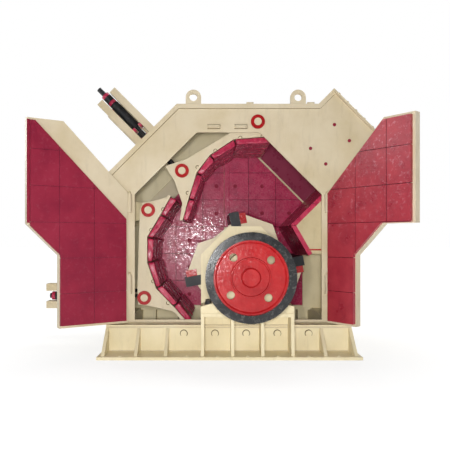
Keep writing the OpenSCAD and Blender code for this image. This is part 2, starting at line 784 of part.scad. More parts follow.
module lifting_lugs() {
    cream() for (side = [0, 1], x = [-lug_left, lug_right]) mirror([0, side, 0])
        difference() {
            side_plate(-wall_in - lug_t, -wall_in) translate([x, roof_z]) {
                translate([-lug_r, 0]) square([2 * lug_r, lug_rise]);
                translate([0, lug_rise]) circle(r = lug_r);
            }
            cross_bar([x, roof_z + lug_rise], lug_hole_r, -wall_in - 2 * lug_t, lug_t - wall_in);
            translate([x - 2 * lug_r, -wall_in - 2 * lug_t, roof_z - 2 * lug_r])
                cube([4 * lug_r, 3 * lug_t, 2 * lug_r]);
        }
}

// Profile of one closed door, drawn in from its edges
module door_profile(side, inset, notch_grow, y0, y1) {
    reach = side < 0 ? door_meet_x - door_meet_gap / 2 - inset : door_meet_x + door_meet_gap / 2 + inset;
    difference() {
        side_plate(y0, y1) polygon(opening_outline(door_lap - inset));
        side_plate(y0 - 1, y1 + 1) polygon(shaft_plate_outline(notch_grow, 0));
        translate([side < 0 ? reach : reach - 3 * housing_half_l, y0 - 1, 0])
            cube([3 * housing_half_l, y1 - y0 + 2, 2 * roof_z]);
    }
}

// Closed door plate with the rim round its edges
module door_plate(side, seat_gap) {
    face = -wall_out - seat_gap;
    door_profile(side, 0, notch_gap, face - door_t, face);
    difference() {
        door_profile(side, 0, notch_gap, face - door_t - rim_depth, face - door_t);
        door_profile(side, rim_t, notch_gap + rim_t, face - door_t - rim_depth - 1, face - door_t + 1);
    }
}

// Liner tiles on the inside of a closed door
module door_tiles(side, seat_gap, bare) {
    face = -wall_out - seat_gap;
    inset = door_lap + tile_edge_gap;
    cell = tile_pitch - tile_joint;
    start = side * (opening_half_w - tile_edge_gap);
    far = 2 * hinge_x;
    for (row = tile_rows, column = tile_columns)
        intersection() {
            door_profile(side, inset, notch_gap + notch_tile_gap, face, face + tile_t);
            translate([side < 0 ? start + column * tile_pitch : start - column * tile_pitch - cell,
                    face - 1, tile_row_z + row * tile_pitch])
                cube([cell, tile_t + 2, cell]);
            if (bare)
                side_plate(face - 1, face + tile_t + 1)
                    polygon([[-far, -far], [far, -far], [far, bare_margin + far], [-far, bare_margin - far]]);
        }
}

// Door knuckles and the arms that join them to the rim
module door_knuckles(side) {
    for (z = hinge_feet) difference() {
        union() {
            translate([side * hinge_x, hinge_y, z + knuckle_h + knuckle_gap])
                cylinder(r = knuckle_r, h = knuckle_h);
            translate([side < 0 ? -hinge_x : door_edge_x, hinge_y - hinge_arm_t / 2,
                    z + knuckle_h + knuckle_gap])
                cube([hinge_x - door_edge_x, hinge_arm_t, knuckle_h]);
        }
        translate([side * hinge_x, hinge_y, z]) cylinder(r = hinge_pin_r + pin_clear, h = 3 * knuckle_h);
    }
}

// Turns a closed near door to the angle at which it stands
module swung(side) {
    angle = side < 0 ? -left_door_open : right_door_open;
    translate([side * hinge_x, hinge_y, 0]) rotate([0, 0, angle])
        translate([-side * hinge_x, -hinge_y, 0]) children();
}

module door_hinge_brackets() {
    cream() for (side = [-1, 1], z = hinge_feet) {
        translate([side * hinge_x, hinge_y, z]) cylinder(r = knuckle_r, h = knuckle_h);
        translate([side * hinge_x - hinge_arm_t / 2, hinge_y, z]) cube([hinge_arm_t, hinge_out, knuckle_h]);
        translate([side * hinge_x, hinge_y, z + knuckle_h])
            cylinder(r = hinge_pin_r, h = knuckle_h + pin_stand);
    }
}

module left_door_plate() {
    cream() swung(-1) door_plate(-1, door_seat_gap);
}

module left_door_liners() {
    crimson() swung(-1) door_tiles(-1, door_seat_gap, true);
}

module left_door_hinges() {
    cream() swung(-1) door_knuckles(-1);
}

module right_door_plate() {
    cream() swung(1) door_plate(1, door_seat_gap);
}

module right_door_liners() {
    crimson() swung(1) door_tiles(1, door_seat_gap, false);
}

module right_door_hinges() {
    cream() swung(1) door_knuckles(1);
}

// Far doors, closed, with a strip over the joint between them
module far_doors() {
    rim_out = wall_out + door_t + rim_depth;
    strip_low = shaft_plate_shoulder_z + shaft_plate_chamfer + notch_gap;
    cream() mirror([0, 1, 0]) {
        for (side = [-1, 1]) door_plate(side, 0);
        translate([door_meet_x - strip_w / 2, -rim_out - strip_t, strip_low])
            cube([strip_w, strip_t, opening_top_z + door_lap - strip_low]);
    }
}

module far_door_liners() {
    crimson() mirror([0, 1, 0]) {
        door_tiles(-1, 0, true);
        door_tiles(1, 0, false);
    }
}

// Shafts that the aprons hang on
module pivot_shafts() {
    wall_end = wall_out + collar_t + pin_stand_out;
    cream() {
        cross_bar(primary_pivot, pin_r, -wall_end, wall_end);
        cross_bar(secondary_pivot, pin_r, -pin_half_l, pin_half_l);
    }
}

module collar(at, y0) {
    difference() {
        cross_bar(at, collar_r, y0, y0 + collar_t);
        cross_bar(at, pin_r + pin_clear, y0 - 1, y0 + collar_t + 1);
    }
}

module pivot_collars() {
    signal_red() for (side = [0, 1]) mirror([0, side, 0]) {
        collar(primary_pivot, -wall_out - collar_t);
        collar(secondary_pivot, -apron_half_w - collar_t - pin_stand_out / 3);
    }
}

module secondary_pivot_brackets() {
    bracket_y = (rod_y + apron_half_w) / 2;
    eye = eye_r + pin_stand_out;
    cream() for (side = [-1, 1]) translate([0, side * bracket_y, 0])
        difference() {
            union() {
                side_plate(-bracket_t / 2, bracket_t / 2) polygon([
                    [-end_wall_in, secondary_pivot[1] - 2.5 * eye],
                    [-end_wall_in, secondary_pivot[1] + 1.8 * eye],
                    secondary_pivot + [0, eye], secondary_pivot - [0, eye]]);
                cross_bar(secondary_pivot, eye, -bracket_t / 2, bracket_t / 2);
            }
            cross_bar(secondary_pivot, pin_r + pin_clear, -bracket_t, bracket_t);
        }
}

// Rails of one adjuster, standing on the plane z = 0, and the forked plate between them that carries
// the spring; the rod drops into the fork from the near side
module adjuster_frame(rail_l) {
    difference() {
        union() {
            for (x = [-rail_gap / 2 - rail_w, rail_gap / 2])
                translate([x, -rail_depth / 2, fit_gap]) cube([rail_w, rail_depth, rail_l - fit_gap]);
            translate([-rail_gap / 2, -rail_depth / 2, spring_foot - spring_plate_t])
                cube([rail_gap, rail_depth, spring_plate_t]);
        }
        cylinder(r = rod_guide_r, h = spring_foot + 1);
        translate([-rod_guide_r, -rail_depth, 0]) cube([2 * rod_guide_r, rail_depth, spring_foot + 1]);
    }
}

// Places a shape at both adjusters of one apron, z running out along the rod
module at_top_adjusters() {
    for (side = [-1, 1])
        translate([top_rail_foot[0], side * rod_y, top_rail_foot[1]]) rotate([0, -45, 0]) children();
}

module at_left_adjusters() {
    for (side = [-1, 1])
        translate([-housing_half_l, side * rod_y, secondary_pin[1]]) rotate([0, -90, 0]) children();
}

module adjuster_brackets() {
    cream() {
        at_top_adjusters() adjuster_frame(top_rail_l);
        at_left_adjusters() adjuster_frame(left_rail_l);
    }
}

// Spring tube on the plate of one adjuster
module spring_tube() {
    translate([0, 0, spring_foot]) difference() {
        cylinder(r = spring_r, h = spring_l);
        translate([0, 0, -1]) cylinder(r = rod_guide_r + rod_guide_gap, h = spring_l + 2);
    }
}

module adjuster_springs() {
    black_steel() {
        at_top_adjusters() spring_tube();
        at_left_adjusters() spring_tube();
    }
}

// Rod with its eye round the apron pin, and a nut between two collars on the spring
module rod(run, tail) {
    seat = spring_foot + spring_l + pin_clear;
    nut_seat = seat + rod_collar_h;
    difference() {
        union() {
            translate([0, 0, -run]) cylinder(r = rod_r, h = run + seat);
            translate([0, rod_eye_t / 2, -run]) rotate([90, 0, 0]) cylinder(r = eye_r, h = rod_eye_t);
            translate([0, 0, seat]) cylinder(r = rod_collar_r, h = rod_collar_h);
            translate([0, 0, nut_seat]) rotate([0, 0, 30]) cylinder(r = nut_r, h = nut_h, $fn = 6);
            translate([0, 0, nut_seat + nut_h]) cylinder(r = rod_collar_r, h = rod_collar_h);
            translate([0, 0, seat]) cylinder(r = tail_r, h = tail);
        }
        translate([0, rod_eye_t, -run]) rotate([90, 0, 0])
            cylinder(r = pin_r + pin_clear, h = 2 * rod_eye_t);
    }
}

module primary_rods() {
    black_steel() at_top_adjusters() rod(top_rod_run, top_rod_tail);
}

module secondary_rods() {
    black_steel() at_left_adjusters() rod(left_rod_run, left_rod_tail);
}

// Side plates, face plate, rod pin and pin lugs of one apron; the lugs stand on one facet of the face
module apron_frame(face, back, pivot, pin, facet) {
    seat = shifted(face, -block_t - fit_gap);
    behind = shifted(seat, -apron_plate_t);
    clevis = rod_eye_t / 2 + eye_gap;
    sides = [-apron_half_w, apron_half_w - apron_plate_t];
    lugs = [for (side = [-1, 1], y = [-clevis - apron_plate_t, clevis]) side * rod_y + y];
    difference() {
        union() {
            side_plate(-apron_half_w, apron_half_w) polygon(concat(seat, reversed(behind)));
            for (y = sides) {
                side_plate(y, y + apron_plate_t) polygon(concat(reversed(seat), back));
                cross_bar(pivot, boss_r, y, y + apron_plate_t);
            }
            for (y = lugs) side_plate(y, y + apron_plate_t) hull() {
                translate(pin) circle(r = eye_r);
                polygon([seat[facet], seat[facet + 1], behind[facet + 1], behind[facet]]);
            }
            cross_bar(pin, pin_r, -pin_half_l, pin_half_l);
        }
        cross_bar(pivot, pin_r + pin_clear, -inside_w, inside_w);
    }
}

// Liner blocks, one on each facet of an apron's face
module apron_blocks(face) {
    seat = shifted(face, -block_t);
    for (i = [0 : len(face) - 2])
        side_plate(-apron_half_w, apron_half_w)
            polygon(block_outline([seat[i], seat[i + 1]], [face[i], face[i + 1]]));
}

module apron_collars(pin) {
    for (side = [0, 1]) mirror([0, side, 0]) collar(pin, -apron_half_w - collar_t);
}

module primary_apron_frame() {
    cream() apron_frame(primary_face, primary_back, primary_pivot, primary_pin, 3);
}

module primary_apron_liners() {
    crimson() apron_blocks(primary_face);
}

module primary_apron_collars() {
    signal_red() apron_collars(primary_pin);
}

module secondary_apron_frame() {
    cream() apron_frame(secondary_face, secondary_back, secondary_pivot, secondary_pin, 4);
}

module secondary_apron_liners() {
    crimson() apron_blocks(secondary_face);
}

module secondary_apron_collars() {
    signal_red() apron_collars(secondary_pin);
}

// Places a shape drawn round the origin on the rotor axis, turned as the rotor stands
module on_rotor() {
    translate([rotor_x, 0, rotor_z]) rotate([0, -rotor_turn, 0]) children();
}

module rotor_shaft() {
    body_end = wall_out + shaft_step;
    journal_end = bearing_y + bearing_l / 2 + shaft_step + cover_t;
    web_front = pulley_front - web_recess;
    bright_steel() translate([rotor_x, 0, rotor_z]) rotate([-90, 0, 0]) {
        translate([0, 0, -body_end]) cylinder(r = shaft_r, h = 2 * body_end);
        translate([0, 0, -journal_end]) cylinder(r = journal_r, h = 2 * journal_end);
        translate([0, 0, shaft_clear - web_front]) cylinder(r = pulley_seat_r, h = web_front);
    }
}

module rotor_discs() {
    cream() on_rotor() difference() {
        union() {
            for (i = [0 : disc_count - 1])
                translate([0, -rotor_l / 2 + i * disc_pitch, 0])
                    side_plate(0, disc_t) polygon(disc_outline);
            cross_bar([0, 0], rotor_tube_r, -rotor_l / 2, rotor_l / 2);
        }
        for (turn = [0 : 3]) rotate([0, 90 * turn, 0]) {
            translate([-bar_t / 2 - bar_clear, -rotor_l, bar_root])
                cube([bar_t + 2 * bar_clear, 2 * rotor_l, rotor_tip_r]);
            translate([0, -rotor_l, wedge_top - wedge_depth])
                cube([bar_t / 2 + wedge_t + 2 * bar_clear, 2 * rotor_l, rotor_tip_r]);
        }
        cross_bar([0, 0], shaft_r + shaft_clear, -rotor_l, rotor_l);
    }
}

module blow_bars() {
    black_steel() on_rotor() for (turn = [0 : 3]) rotate([0, 90 * turn, 0])
        translate([-bar_t / 2, -rotor_l / 2, bar_root]) cube([bar_t, rotor_l, bar_depth]);
}

module bar_wedges() {
    signal_red() on_rotor() for (turn = [0 : 3], i = [0 : disc_count - 1]) rotate([0, 90 * turn, 0])
        translate([bar_t / 2 + bar_clear, -rotor_l / 2 + i * disc_pitch, wedge_top - wedge_depth])
            cube([wedge_t, disc_t, wedge_depth]);
}

module pulley_rim() {
    rim_in = pulley_d / 2 - pulley_rim_t;
    land = pulley_w / (groove_count * 3 + 1);
    black_steel() translate([rotor_x, -pulley_back, rotor_z]) rotate([90, 0, 0]) rotate_extrude($fn = 96)
        polygon(concat(
            [[rim_in, 0], [pulley_d / 2, 0]],
            [for (i = [0 : groove_count - 1], p = [[0, 1], [1, 1.6], [1, 2.4], [0, 3]])
                [pulley_d / 2 - p[0] * groove_depth, (3 * i + p[1]) * land]],
            [[pulley_d / 2, pulley_w], [rim_in, pulley_w]]));
}

// Web with a raised lip at the rim, a raised ring and a cap over the shaft's end
module pulley_web() {
    rim_in = pulley_d / 2 - pulley_rim_t - shaft_clear;
    web_front = pulley_w - web_recess;
    lip_front = web_front + web_lip_h;
    cap_front = web_front + hub_cap_h;
    bore = pulley_seat_r + shaft_clear;
    hub_back = web_t / 3;
    signal_red() translate([rotor_x, -pulley_back, rotor_z]) rotate([90, 0, 0]) difference() {
        rotate_extrude($fn = 96) polygon([
            [bore, hub_back], [hub_r, hub_back], [hub_r, web_front - web_t], [rim_in, web_front - web_t],
            [rim_in, lip_front], [rim_in - web_lip_w / 2, lip_front], [rim_in - web_lip_w, web_front],
            [web_ring_r + web_ring_w, web_front], [web_ring_r + 0.75 * web_ring_w, lip_front],
            [web_ring_r + 0.25 * web_ring_w, lip_front], [web_ring_r, web_front],
            [hub_cap_r, web_front], [hub_cap_r, web_front + hub_cap_h / 2],
            [0.85 * hub_cap_r, cap_front], [0, cap_front], [0, web_front], [bore, web_front]]);
        for (turn = [0 : 3]) rotate([0, 0, web_hole_turn + 90 * turn])
            translate([web_hole_circle_r, 0, 0]) cylinder(r = web_hole_r, h = pulley_w);
    }
}

base_frame_near();
base_frame_far();
base_ribs();
base_cross_members();
near_wall();
far_wall();
left_wall();
right_wall();
roof_left_slope();
roof_top();
feed_flange();
feed_floor();
feed_wedge();
feed_liners();
shaft_plates();
bearing_blocks();
far_doors();
far_door_liners();
lifting_lugs();
door_hinge_brackets();
pivot_shafts();
pivot_collars();
secondary_pivot_brackets();
adjuster_brackets();
adjuster_springs();
rotor_shaft();
rotor_discs();
blow_bars();
bar_wedges();
pulley_rim();
pulley_web();
left_door_plate();
left_door_liners();
left_door_hinges();
right_door_plate();
right_door_liners();
right_door_hinges();
primary_apron_frame();
primary_apron_liners();
primary_apron_collars();
secondary_apron_frame();
secondary_apron_liners();
secondary_apron_collars();
primary_rods();
secondary_rods();
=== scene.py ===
"""Looks of a horizontal shaft impact crusher with its side doors swung open, in metres."""

import json
import math

import bmesh
import bpy
import numpy as np
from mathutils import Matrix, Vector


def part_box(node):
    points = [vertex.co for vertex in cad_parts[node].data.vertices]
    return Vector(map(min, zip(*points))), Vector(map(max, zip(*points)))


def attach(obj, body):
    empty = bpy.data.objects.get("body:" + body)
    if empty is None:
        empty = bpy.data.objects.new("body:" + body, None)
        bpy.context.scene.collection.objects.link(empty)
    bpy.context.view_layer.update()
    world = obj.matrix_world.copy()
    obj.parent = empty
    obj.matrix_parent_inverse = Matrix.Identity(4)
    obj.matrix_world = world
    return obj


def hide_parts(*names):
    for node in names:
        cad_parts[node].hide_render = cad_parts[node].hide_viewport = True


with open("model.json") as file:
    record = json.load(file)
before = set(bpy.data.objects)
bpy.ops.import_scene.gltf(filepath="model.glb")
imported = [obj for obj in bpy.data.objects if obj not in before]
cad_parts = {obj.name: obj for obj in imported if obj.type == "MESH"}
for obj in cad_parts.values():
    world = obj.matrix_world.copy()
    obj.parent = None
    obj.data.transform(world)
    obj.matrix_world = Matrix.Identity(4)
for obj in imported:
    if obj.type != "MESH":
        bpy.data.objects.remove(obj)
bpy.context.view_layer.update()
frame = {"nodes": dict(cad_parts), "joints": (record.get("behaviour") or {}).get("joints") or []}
NODES = frame["nodes"]

# Sizes taken from the frame
WALL_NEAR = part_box("near_wall")[0].y
WALL_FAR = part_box("far_wall")[1].y
JOINTS = {joint["name"]: joint for joint in frame["joints"]}
ROTOR = np.array(JOINTS["rotor_spin"]["pos_m"])
SECONDARY_PIN = np.array(JOINTS["secondary_rod_pivot"]["pos_m"])
BOTH_WALLS = ((WALL_NEAR, -1), (WALL_FAR, 1))

# Sizes that several pieces share
DOWN_RIGHT = np.array([1, 0, -1]) / math.sqrt(2)
UP_RIGHT = np.array([1, 0, 1]) / math.sqrt(2)
TIP_R = 0.56  # circle of the blow bars
BLOCK_T = 0.065  # thickness of the aprons' blocks
CHEEK_T = 0.0145  # cheek plates beside the feed, with their fit
PAINTED_GLINT_MM = 34  # size of the painted glints
STREAK_MM = (71.43, 71.43, 454.5)  # dirt streaks across, into and down a plate
SAME_POINT = 1e-6  # points nearer than this are one


# Colours and materials

def linear(hex_colour):
    """Linear RGBA of an sRGB hex colour."""
    parts = [int(hex_colour[i:i + 2], 16) / 255 for i in (1, 3, 5)]
    return [c / 12.92 if c <= 0.04045 else ((c + 0.055) / 1.055) ** 2.4 for c in parts] + [1.0]


def node(tree, kind, inputs=None, stops=(), **settings):
    """Adds a node with its settings; an input is a value or the socket that feeds it, and a colour ramp runs
    through stops of position and hex colour."""
    made = tree.nodes.new(kind)
    for key, value in settings.items():
        setattr(made, key, value)
    for key, value in (inputs or {}).items():
        if isinstance(value, bpy.types.NodeSocket):
            tree.links.new(value, made.inputs[key])
        else:
            made.inputs[key].default_value = value
    if stops:
        elements = made.color_ramp.elements
        while len(elements) < len(stops):
            elements.new(0.5)
        for element, (position, colour) in zip(elements, stops):
            element.position = position
            element.color = linear(colour)
    return made


def new_material(name):
    """An empty node material and its tree."""
    made = bpy.data.materials.new(name)
    made.use_nodes = True
    made.node_tree.nodes.clear()
    return made, made.node_tree


def per_metre(size_mm):
    """Noise scale that gives features of about this size."""
    return 1000 / size_mm


def enamel(name, colours, rough, cloud_mm, peel_mm, peel, coat=0.0, spec=0.3, dirt="#6B5B41",
           dirt_share=0.25, painted_glint=0.0, painted_glint_rise=None, painted_glint_colour="#D9A9B4", dull_between=0.0, outer=None):
    """Gloss paint on steel plate: clouded colour, orange peel, pale glints painted in as highlights and a
    little dirt. The peel is drawn coarser than life so that it shows. The painted glints may come in between
    two heights, and the paint may be duller between them. Outer is a second colour and its distance from the
    middle plane."""
    made, tree = new_material(name)
    place = node(tree, "ShaderNodeTexCoord").outputs["Object"]
    cloud = node(tree, "ShaderNodeTexNoise", {
        "Vector": place, "Scale": per_metre(cloud_mm), "Detail": 5.0, "Roughness": 0.6}).outputs["Fac"]
    paint = node(tree, "ShaderNodeValToRGB", {"Fac": cloud},
                 stops=list(zip((0.28, 0.5, 0.74), colours))).outputs["Color"]
    streak_scale = [per_metre(size_mm) for size_mm in STREAK_MM]
    smear = node(tree, "ShaderNodeMapping", {"Vector": place, "Scale": streak_scale}).outputs["Vector"]
    streak = node(tree, "ShaderNodeTexNoise", {
        "Vector": smear, "Scale": 1.0, "Detail": 6.0, "Roughness": 0.7}).outputs["Fac"]
    grime = node(tree, "ShaderNodeMapRange", {
        "Value": streak, "From Min": 0.55, "From Max": 0.85, "To Max": dirt_share}).outputs["Result"]
    colour = node(tree, "ShaderNodeMix", {"Factor": grime, "A": paint, "B": linear(dirt)},
                  data_type="RGBA").outputs["Result"]
    peel_noise = node(tree, "ShaderNodeTexNoise", {
        "Vector": place, "Scale": per_metre(peel_mm), "Detail": 3.0, "Roughness": 0.55}).outputs["Fac"]
    gloss = node(tree, "ShaderNodeMapRange", {
        "Value": cloud, "From Min": 0.3, "From Max": 0.75, "To Min": rough - 0.08,
        "To Max": rough + 0.12}).outputs["Result"]
    bump = node(tree, "ShaderNodeBump", {
        "Height": peel_noise, "Strength": peel, "Distance": peel_mm / 1000 * 0.2}).outputs["Normal"]
    # Painted highlight: pale glints mixed into the colour where the spot noise peaks
    if painted_glint:
        spots = node(tree, "ShaderNodeTexNoise", {
            "Vector": place, "Scale": per_metre(PAINTED_GLINT_MM), "Detail": 8.0, "Roughness": 0.72}).outputs["Fac"]
        painted_shine = node(tree, "ShaderNodeMapRange", {
            "Value": spots, "From Min": 0.54, "From Max": 0.66, "To Max": painted_glint}).outputs["Result"]
        if dull_between:
            gloss = node(tree, "ShaderNodeMapRange", {
                "Value": spots, "From Min": 0.42, "From Max": 0.55, "To Min": rough + dull_between,
                "To Max": rough - 0.06}).outputs["Result"]
        if painted_glint_rise:
            low, high = painted_glint_rise
            height = node(tree, "ShaderNodeSeparateXYZ", {"Vector": place}).outputs["Z"]
            rise = node(tree, "ShaderNodeMapRange", {
                "Value": height, "From Min": low, "From Max": high}).outputs["Result"]
            painted_shine = node(tree, "ShaderNodeMath", {0: painted_shine, 1: rise}, operation="MULTIPLY").outputs["Value"]
        colour = node(tree, "ShaderNodeMix", {"Factor": painted_shine, "A": colour, "B": linear(painted_glint_colour)},
                      data_type="RGBA").outputs["Result"]
    if outer:
        outer_colour, outer_from = outer
        across = node(tree, "ShaderNodeSeparateXYZ", {"Vector": place}).outputs["Y"]
        off = node(tree, "ShaderNodeMath", {0: across}, operation="ABSOLUTE").outputs["Value"]
        beyond = node(tree, "ShaderNodeMath", {0: off, 1: outer_from},
                      operation="GREATER_THAN").outputs["Value"]
        share = node(tree, "ShaderNodeMath", {0: beyond, 1: 0.86}, operation="MULTIPLY").outputs["Value"]
        colour = node(tree, "ShaderNodeMix", {"Factor": share, "A": colour, "B": linear(outer_colour)},
                      data_type="RGBA").outputs["Result"]
    shader = node(tree, "ShaderNodeBsdfPrincipled", {
        "Base Color": colour, "Roughness": gloss, "Normal": bump, "Specular IOR Level": spec,
        "Coat Weight": coat, "Coat Roughness": 0.18})
    node(tree, "ShaderNodeOutputMaterial", {"Surface": shader.outputs["BSDF"]})
    return made


def turned_steel(name):
    """Lathe turned shaft steel: rings along Y, drawn coarser than life so that they show, over a grey metal
    with a film of oil."""
    made, tree = new_material(name)
    place = node(tree, "ShaderNodeTexCoord").outputs["Object"]
    rings = node(tree, "ShaderNodeTexWave", {
        "Vector": place, "Scale": per_metre(12), "Distortion": 0.6, "Detail": 2.0},
        bands_direction="Y").outputs["Fac"]
    film = node(tree, "ShaderNodeTexNoise", {
        "Vector": place, "Scale": per_metre(60), "Detail": 4.0}).outputs["Fac"]
    colour = node(tree, "ShaderNodeValToRGB", {"Fac": film},
                  stops=[(0.3, "#8C8B88"), (0.7, "#A8A7A2")]).outputs["Color"]
    gloss = node(tree, "ShaderNodeMapRange", {"Value": film, "To Min": 0.25, "To Max": 0.5}).outputs["Result"]
    bump = node(tree, "ShaderNodeBump", {
        "Height": rings, "Strength": 0.2, "Distance": 0.0006}).outputs["Normal"]
    shader = node(tree, "ShaderNodeBsdfPrincipled", {
        "Base Color": colour, "Metallic": 1.0, "Roughness": gloss, "Normal": bump})
    node(tree, "ShaderNodeOutputMaterial", {"Surface": shader.outputs["BSDF"]})
    return made


# Semi-gloss cream enamel on rolled plate: soft clouds and a faint orange peel
CREAM = enamel("cream_enamel_on_plate", ["#C7B795", "#D1C3A7", "#D8CCB2"], rough=0.42, cloud_mm=420,
               peel_mm=5, peel=0.12, coat=0.05)
# Lighter cream as painted light on the base, the pedestals, the shaft plates and the inner walls
CREAM_PAINTED_LIT = enamel("cream_enamel_fresh", ["#D8CAA4", "#E2D5B0", "#EADEBD"], rough=0.4, cloud_mm=380,
                     peel_mm=6, peel=0.15, coat=0.08)
# The same cream where feed dust and shade keep it dull
CREAM_DULL = enamel("cream_enamel_dusty", ["#B9A984", "#C6B792", "#D0C29E"], rough=0.5, cloud_mm=260,
                    peel_mm=6, peel=0.15, dirt_share=0.4)
# Crimson brushed enamel on the left door tiles and the liner bolts, nearly flat in colour, with faint painted
# glints
CRIMSON_FLAT = enamel("crimson_enamel_brushed", ["#7E1D34", "#8A2339", "#93293F"], rough=0.46, cloud_mm=240,
                      peel_mm=9, peel=0.3, spec=0.22, dirt="#4C1424", painted_glint=0.04)
# Crimson enamel on the right door tiles, redder and more blotched, with painted glints that grow towards the
# top
CRIMSON_WARM = enamel("crimson_enamel_blotched", ["#8C2031", "#9C2A38", "#AA3540"], rough=0.32, cloud_mm=150,
                      peel_mm=15, peel=0.75, coat=0.15, spec=0.42, dirt="#5A1624", painted_glint=0.42,
                      painted_glint_rise=(0.8, 1.9))
# Crimson enamel over rough liner castings, glossy in spots where the brush left ridges, with pale painted
# glints in those spots
CRIMSON_ROUGH = enamel("crimson_enamel_on_castings", ["#941C44", "#AC2A50", "#BC3C60"], rough=0.18,
                       cloud_mm=130, peel_mm=18, peel=0.38, spec=0.7, dirt="#561830", painted_glint=0.34,
                       dull_between=0.32)
# Bright crimson enamel on the apron blocks, with pale painted glints
CRIMSON_BLOCK = enamel("crimson_enamel_on_blocks", ["#921C3C", "#AE2648", "#C23C5A"], rough=0.26, cloud_mm=70,
                       peel_mm=14, peel=0.25, spec=0.45, dirt="#3A101E", dirt_share=0.5, painted_glint=0.3)
# The same on the feed blocks with fewer painted glints, and a darker maroon on the cheek plates outside them
CRIMSON_FEED = enamel("crimson_enamel_and_maroon_primer", ["#921C3C", "#AE2648", "#C23C5A"], rough=0.3,
                      cloud_mm=90, peel_mm=14, peel=0.25, spec=0.4, dirt="#3A101E", painted_glint=0.1,
                      outer=("#7A3248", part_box("feed_liners")[1].y - CHEEK_T))
# Signal red gloss enamel: the pulley web, collars and wedges, with faint painted glints
SIGNAL_RED = enamel("signal_red_gloss_enamel", ["#92151A", "#A41A1E", "#B22424"], rough=0.17, cloud_mm=150,
                    peel_mm=26, peel=0.4, spec=0.4, dirt="#7A1A1A", painted_glint=0.05, painted_glint_colour="#E8A09C")
# Black gloss paint on the cast iron pulley rim, with small pale flecks: partly chipped paint, partly painted
# glints
BLACK_GLOSS = enamel("black_gloss_paint_on_iron", ["#0B0C0D", "#121315", "#1C1D20"], rough=0.19, cloud_mm=90,
                     peel_mm=9, peel=0.2, spec=0.6, dirt="#6A6660", dirt_share=0.2, painted_glint=0.12,
                     painted_glint_colour="#BDB8B0")
# Satin black on blow bars, rods and springs, dusty in places
BLACK_SATIN = enamel("black_satin_paint_on_steel", ["#17181A", "#222326", "#2F3033"], rough=0.46, cloud_mm=70,
                     peel_mm=7, peel=0.3, coat=0.1, spec=0.4, dirt="#77706A", dirt_share=0.3)
# Dark crimson on the sheet in the left door's joints: painted shade down in them
LEFT_JOINT_SHADE = enamel("crimson_enamel_in_sinks", ["#5E1428", "#701A30", "#7E2038"], rough=0.4, cloud_mm=60,
                      peel_mm=8, peel=0.3, coat=0.1, dirt="#3A0E1A")
# Near black crimson on the sheets in the other tile joints: painted shade down in them, with dust streaks
DEEP_JOINT_SHADE = enamel("crimson_enamel_in_joints", ["#2E0A14", "#3C0E1A", "#4A1422"], rough=0.6, cloud_mm=50,
                       peel_mm=8, peel=0.3, spec=0.1, dirt="#6A5A48", dirt_share=0.5)
# Dark brown beads over weld seams, beside the handles and round the base heads: painted shadow along them
SEAM_SHADOW = enamel("cream_enamel_in_dusty_seams", ["#5A4D33", "#6B5D40", "#7F704F"], rough=0.55, cloud_mm=40,
                   peel_mm=5, peel=0.3)
# Bright turned steel of the rotor shaft
STEEL = turned_steel("turned_shaft_steel")

FINISHES = {
    CREAM: ["near_wall", "roof_left_slope", "roof_top", "feed_flange", "far_doors", "lifting_lugs",
            "door_hinge_brackets", "pivot_shafts", "adjuster_brackets", "left_door_plate", "left_door_hinges",
            "right_door_plate", "right_door_hinges", "primary_apron_frame", "secondary_apron_frame",
            "rotor_discs"],
    CREAM_PAINTED_LIT: ["base_frame_near", "base_frame_far", "base_ribs", "far_wall", "left_wall", "right_wall",
                  "feed_floor", "shaft_plates", "bearing_blocks", "base_cross_members"],
    CREAM_DULL: ["feed_wedge", "secondary_pivot_brackets"],
    CRIMSON_FLAT: ["left_door_liners"],
    CRIMSON_WARM: ["right_door_liners"],
    CRIMSON_ROUGH: ["far_door_liners"],
    CRIMSON_BLOCK: ["primary_apron_liners", "secondary_apron_liners"],
    CRIMSON_FEED: ["feed_liners"],
    SIGNAL_RED: ["pulley_web", "bar_wedges", "pivot_collars", "primary_apron_collars",
                 "secondary_apron_collars"],
    BLACK_GLOSS: ["pulley_rim"],
    BLACK_SATIN: ["blow_bars", "adjuster_springs", "primary_rods", "secondary_rods"],
    STEEL: ["rotor_shaft"],
}

# Edge radius in metres, and the nodes that have it
EDGES = {
    0.003: ["base_frame_near", "base_frame_far", "base_ribs", "roof_left_slope", "roof_top", "lifting_lugs",
            "adjuster_brackets", "left_door_plate", "right_door_plate", "bearing_blocks", "pulley_web"],
    0.002: ["left_door_liners", "right_door_liners", "far_door_liners"],
    0.005: ["blow_bars", "feed_liners"],
}


def finish_nodes():
    """Gives each carried-over node its finish."""
    for finish, names in FINISHES.items():
        for name in names:
            slots = NODES[name].data.materials
            slots.clear()
            slots.append(finish)


def soften():
    """Rounds the plates' and castings' sharp edges by a few millimetres."""
    for width, names in EDGES.items():
        for name in names:
            edge = NODES[name].modifiers.new("softened_edges", "BEVEL")
            edge.width = width
            edge.segments = 2
            edge.limit_method = "ANGLE"
            edge.angle_limit = math.radians(40)


# Pieces worked out on grids

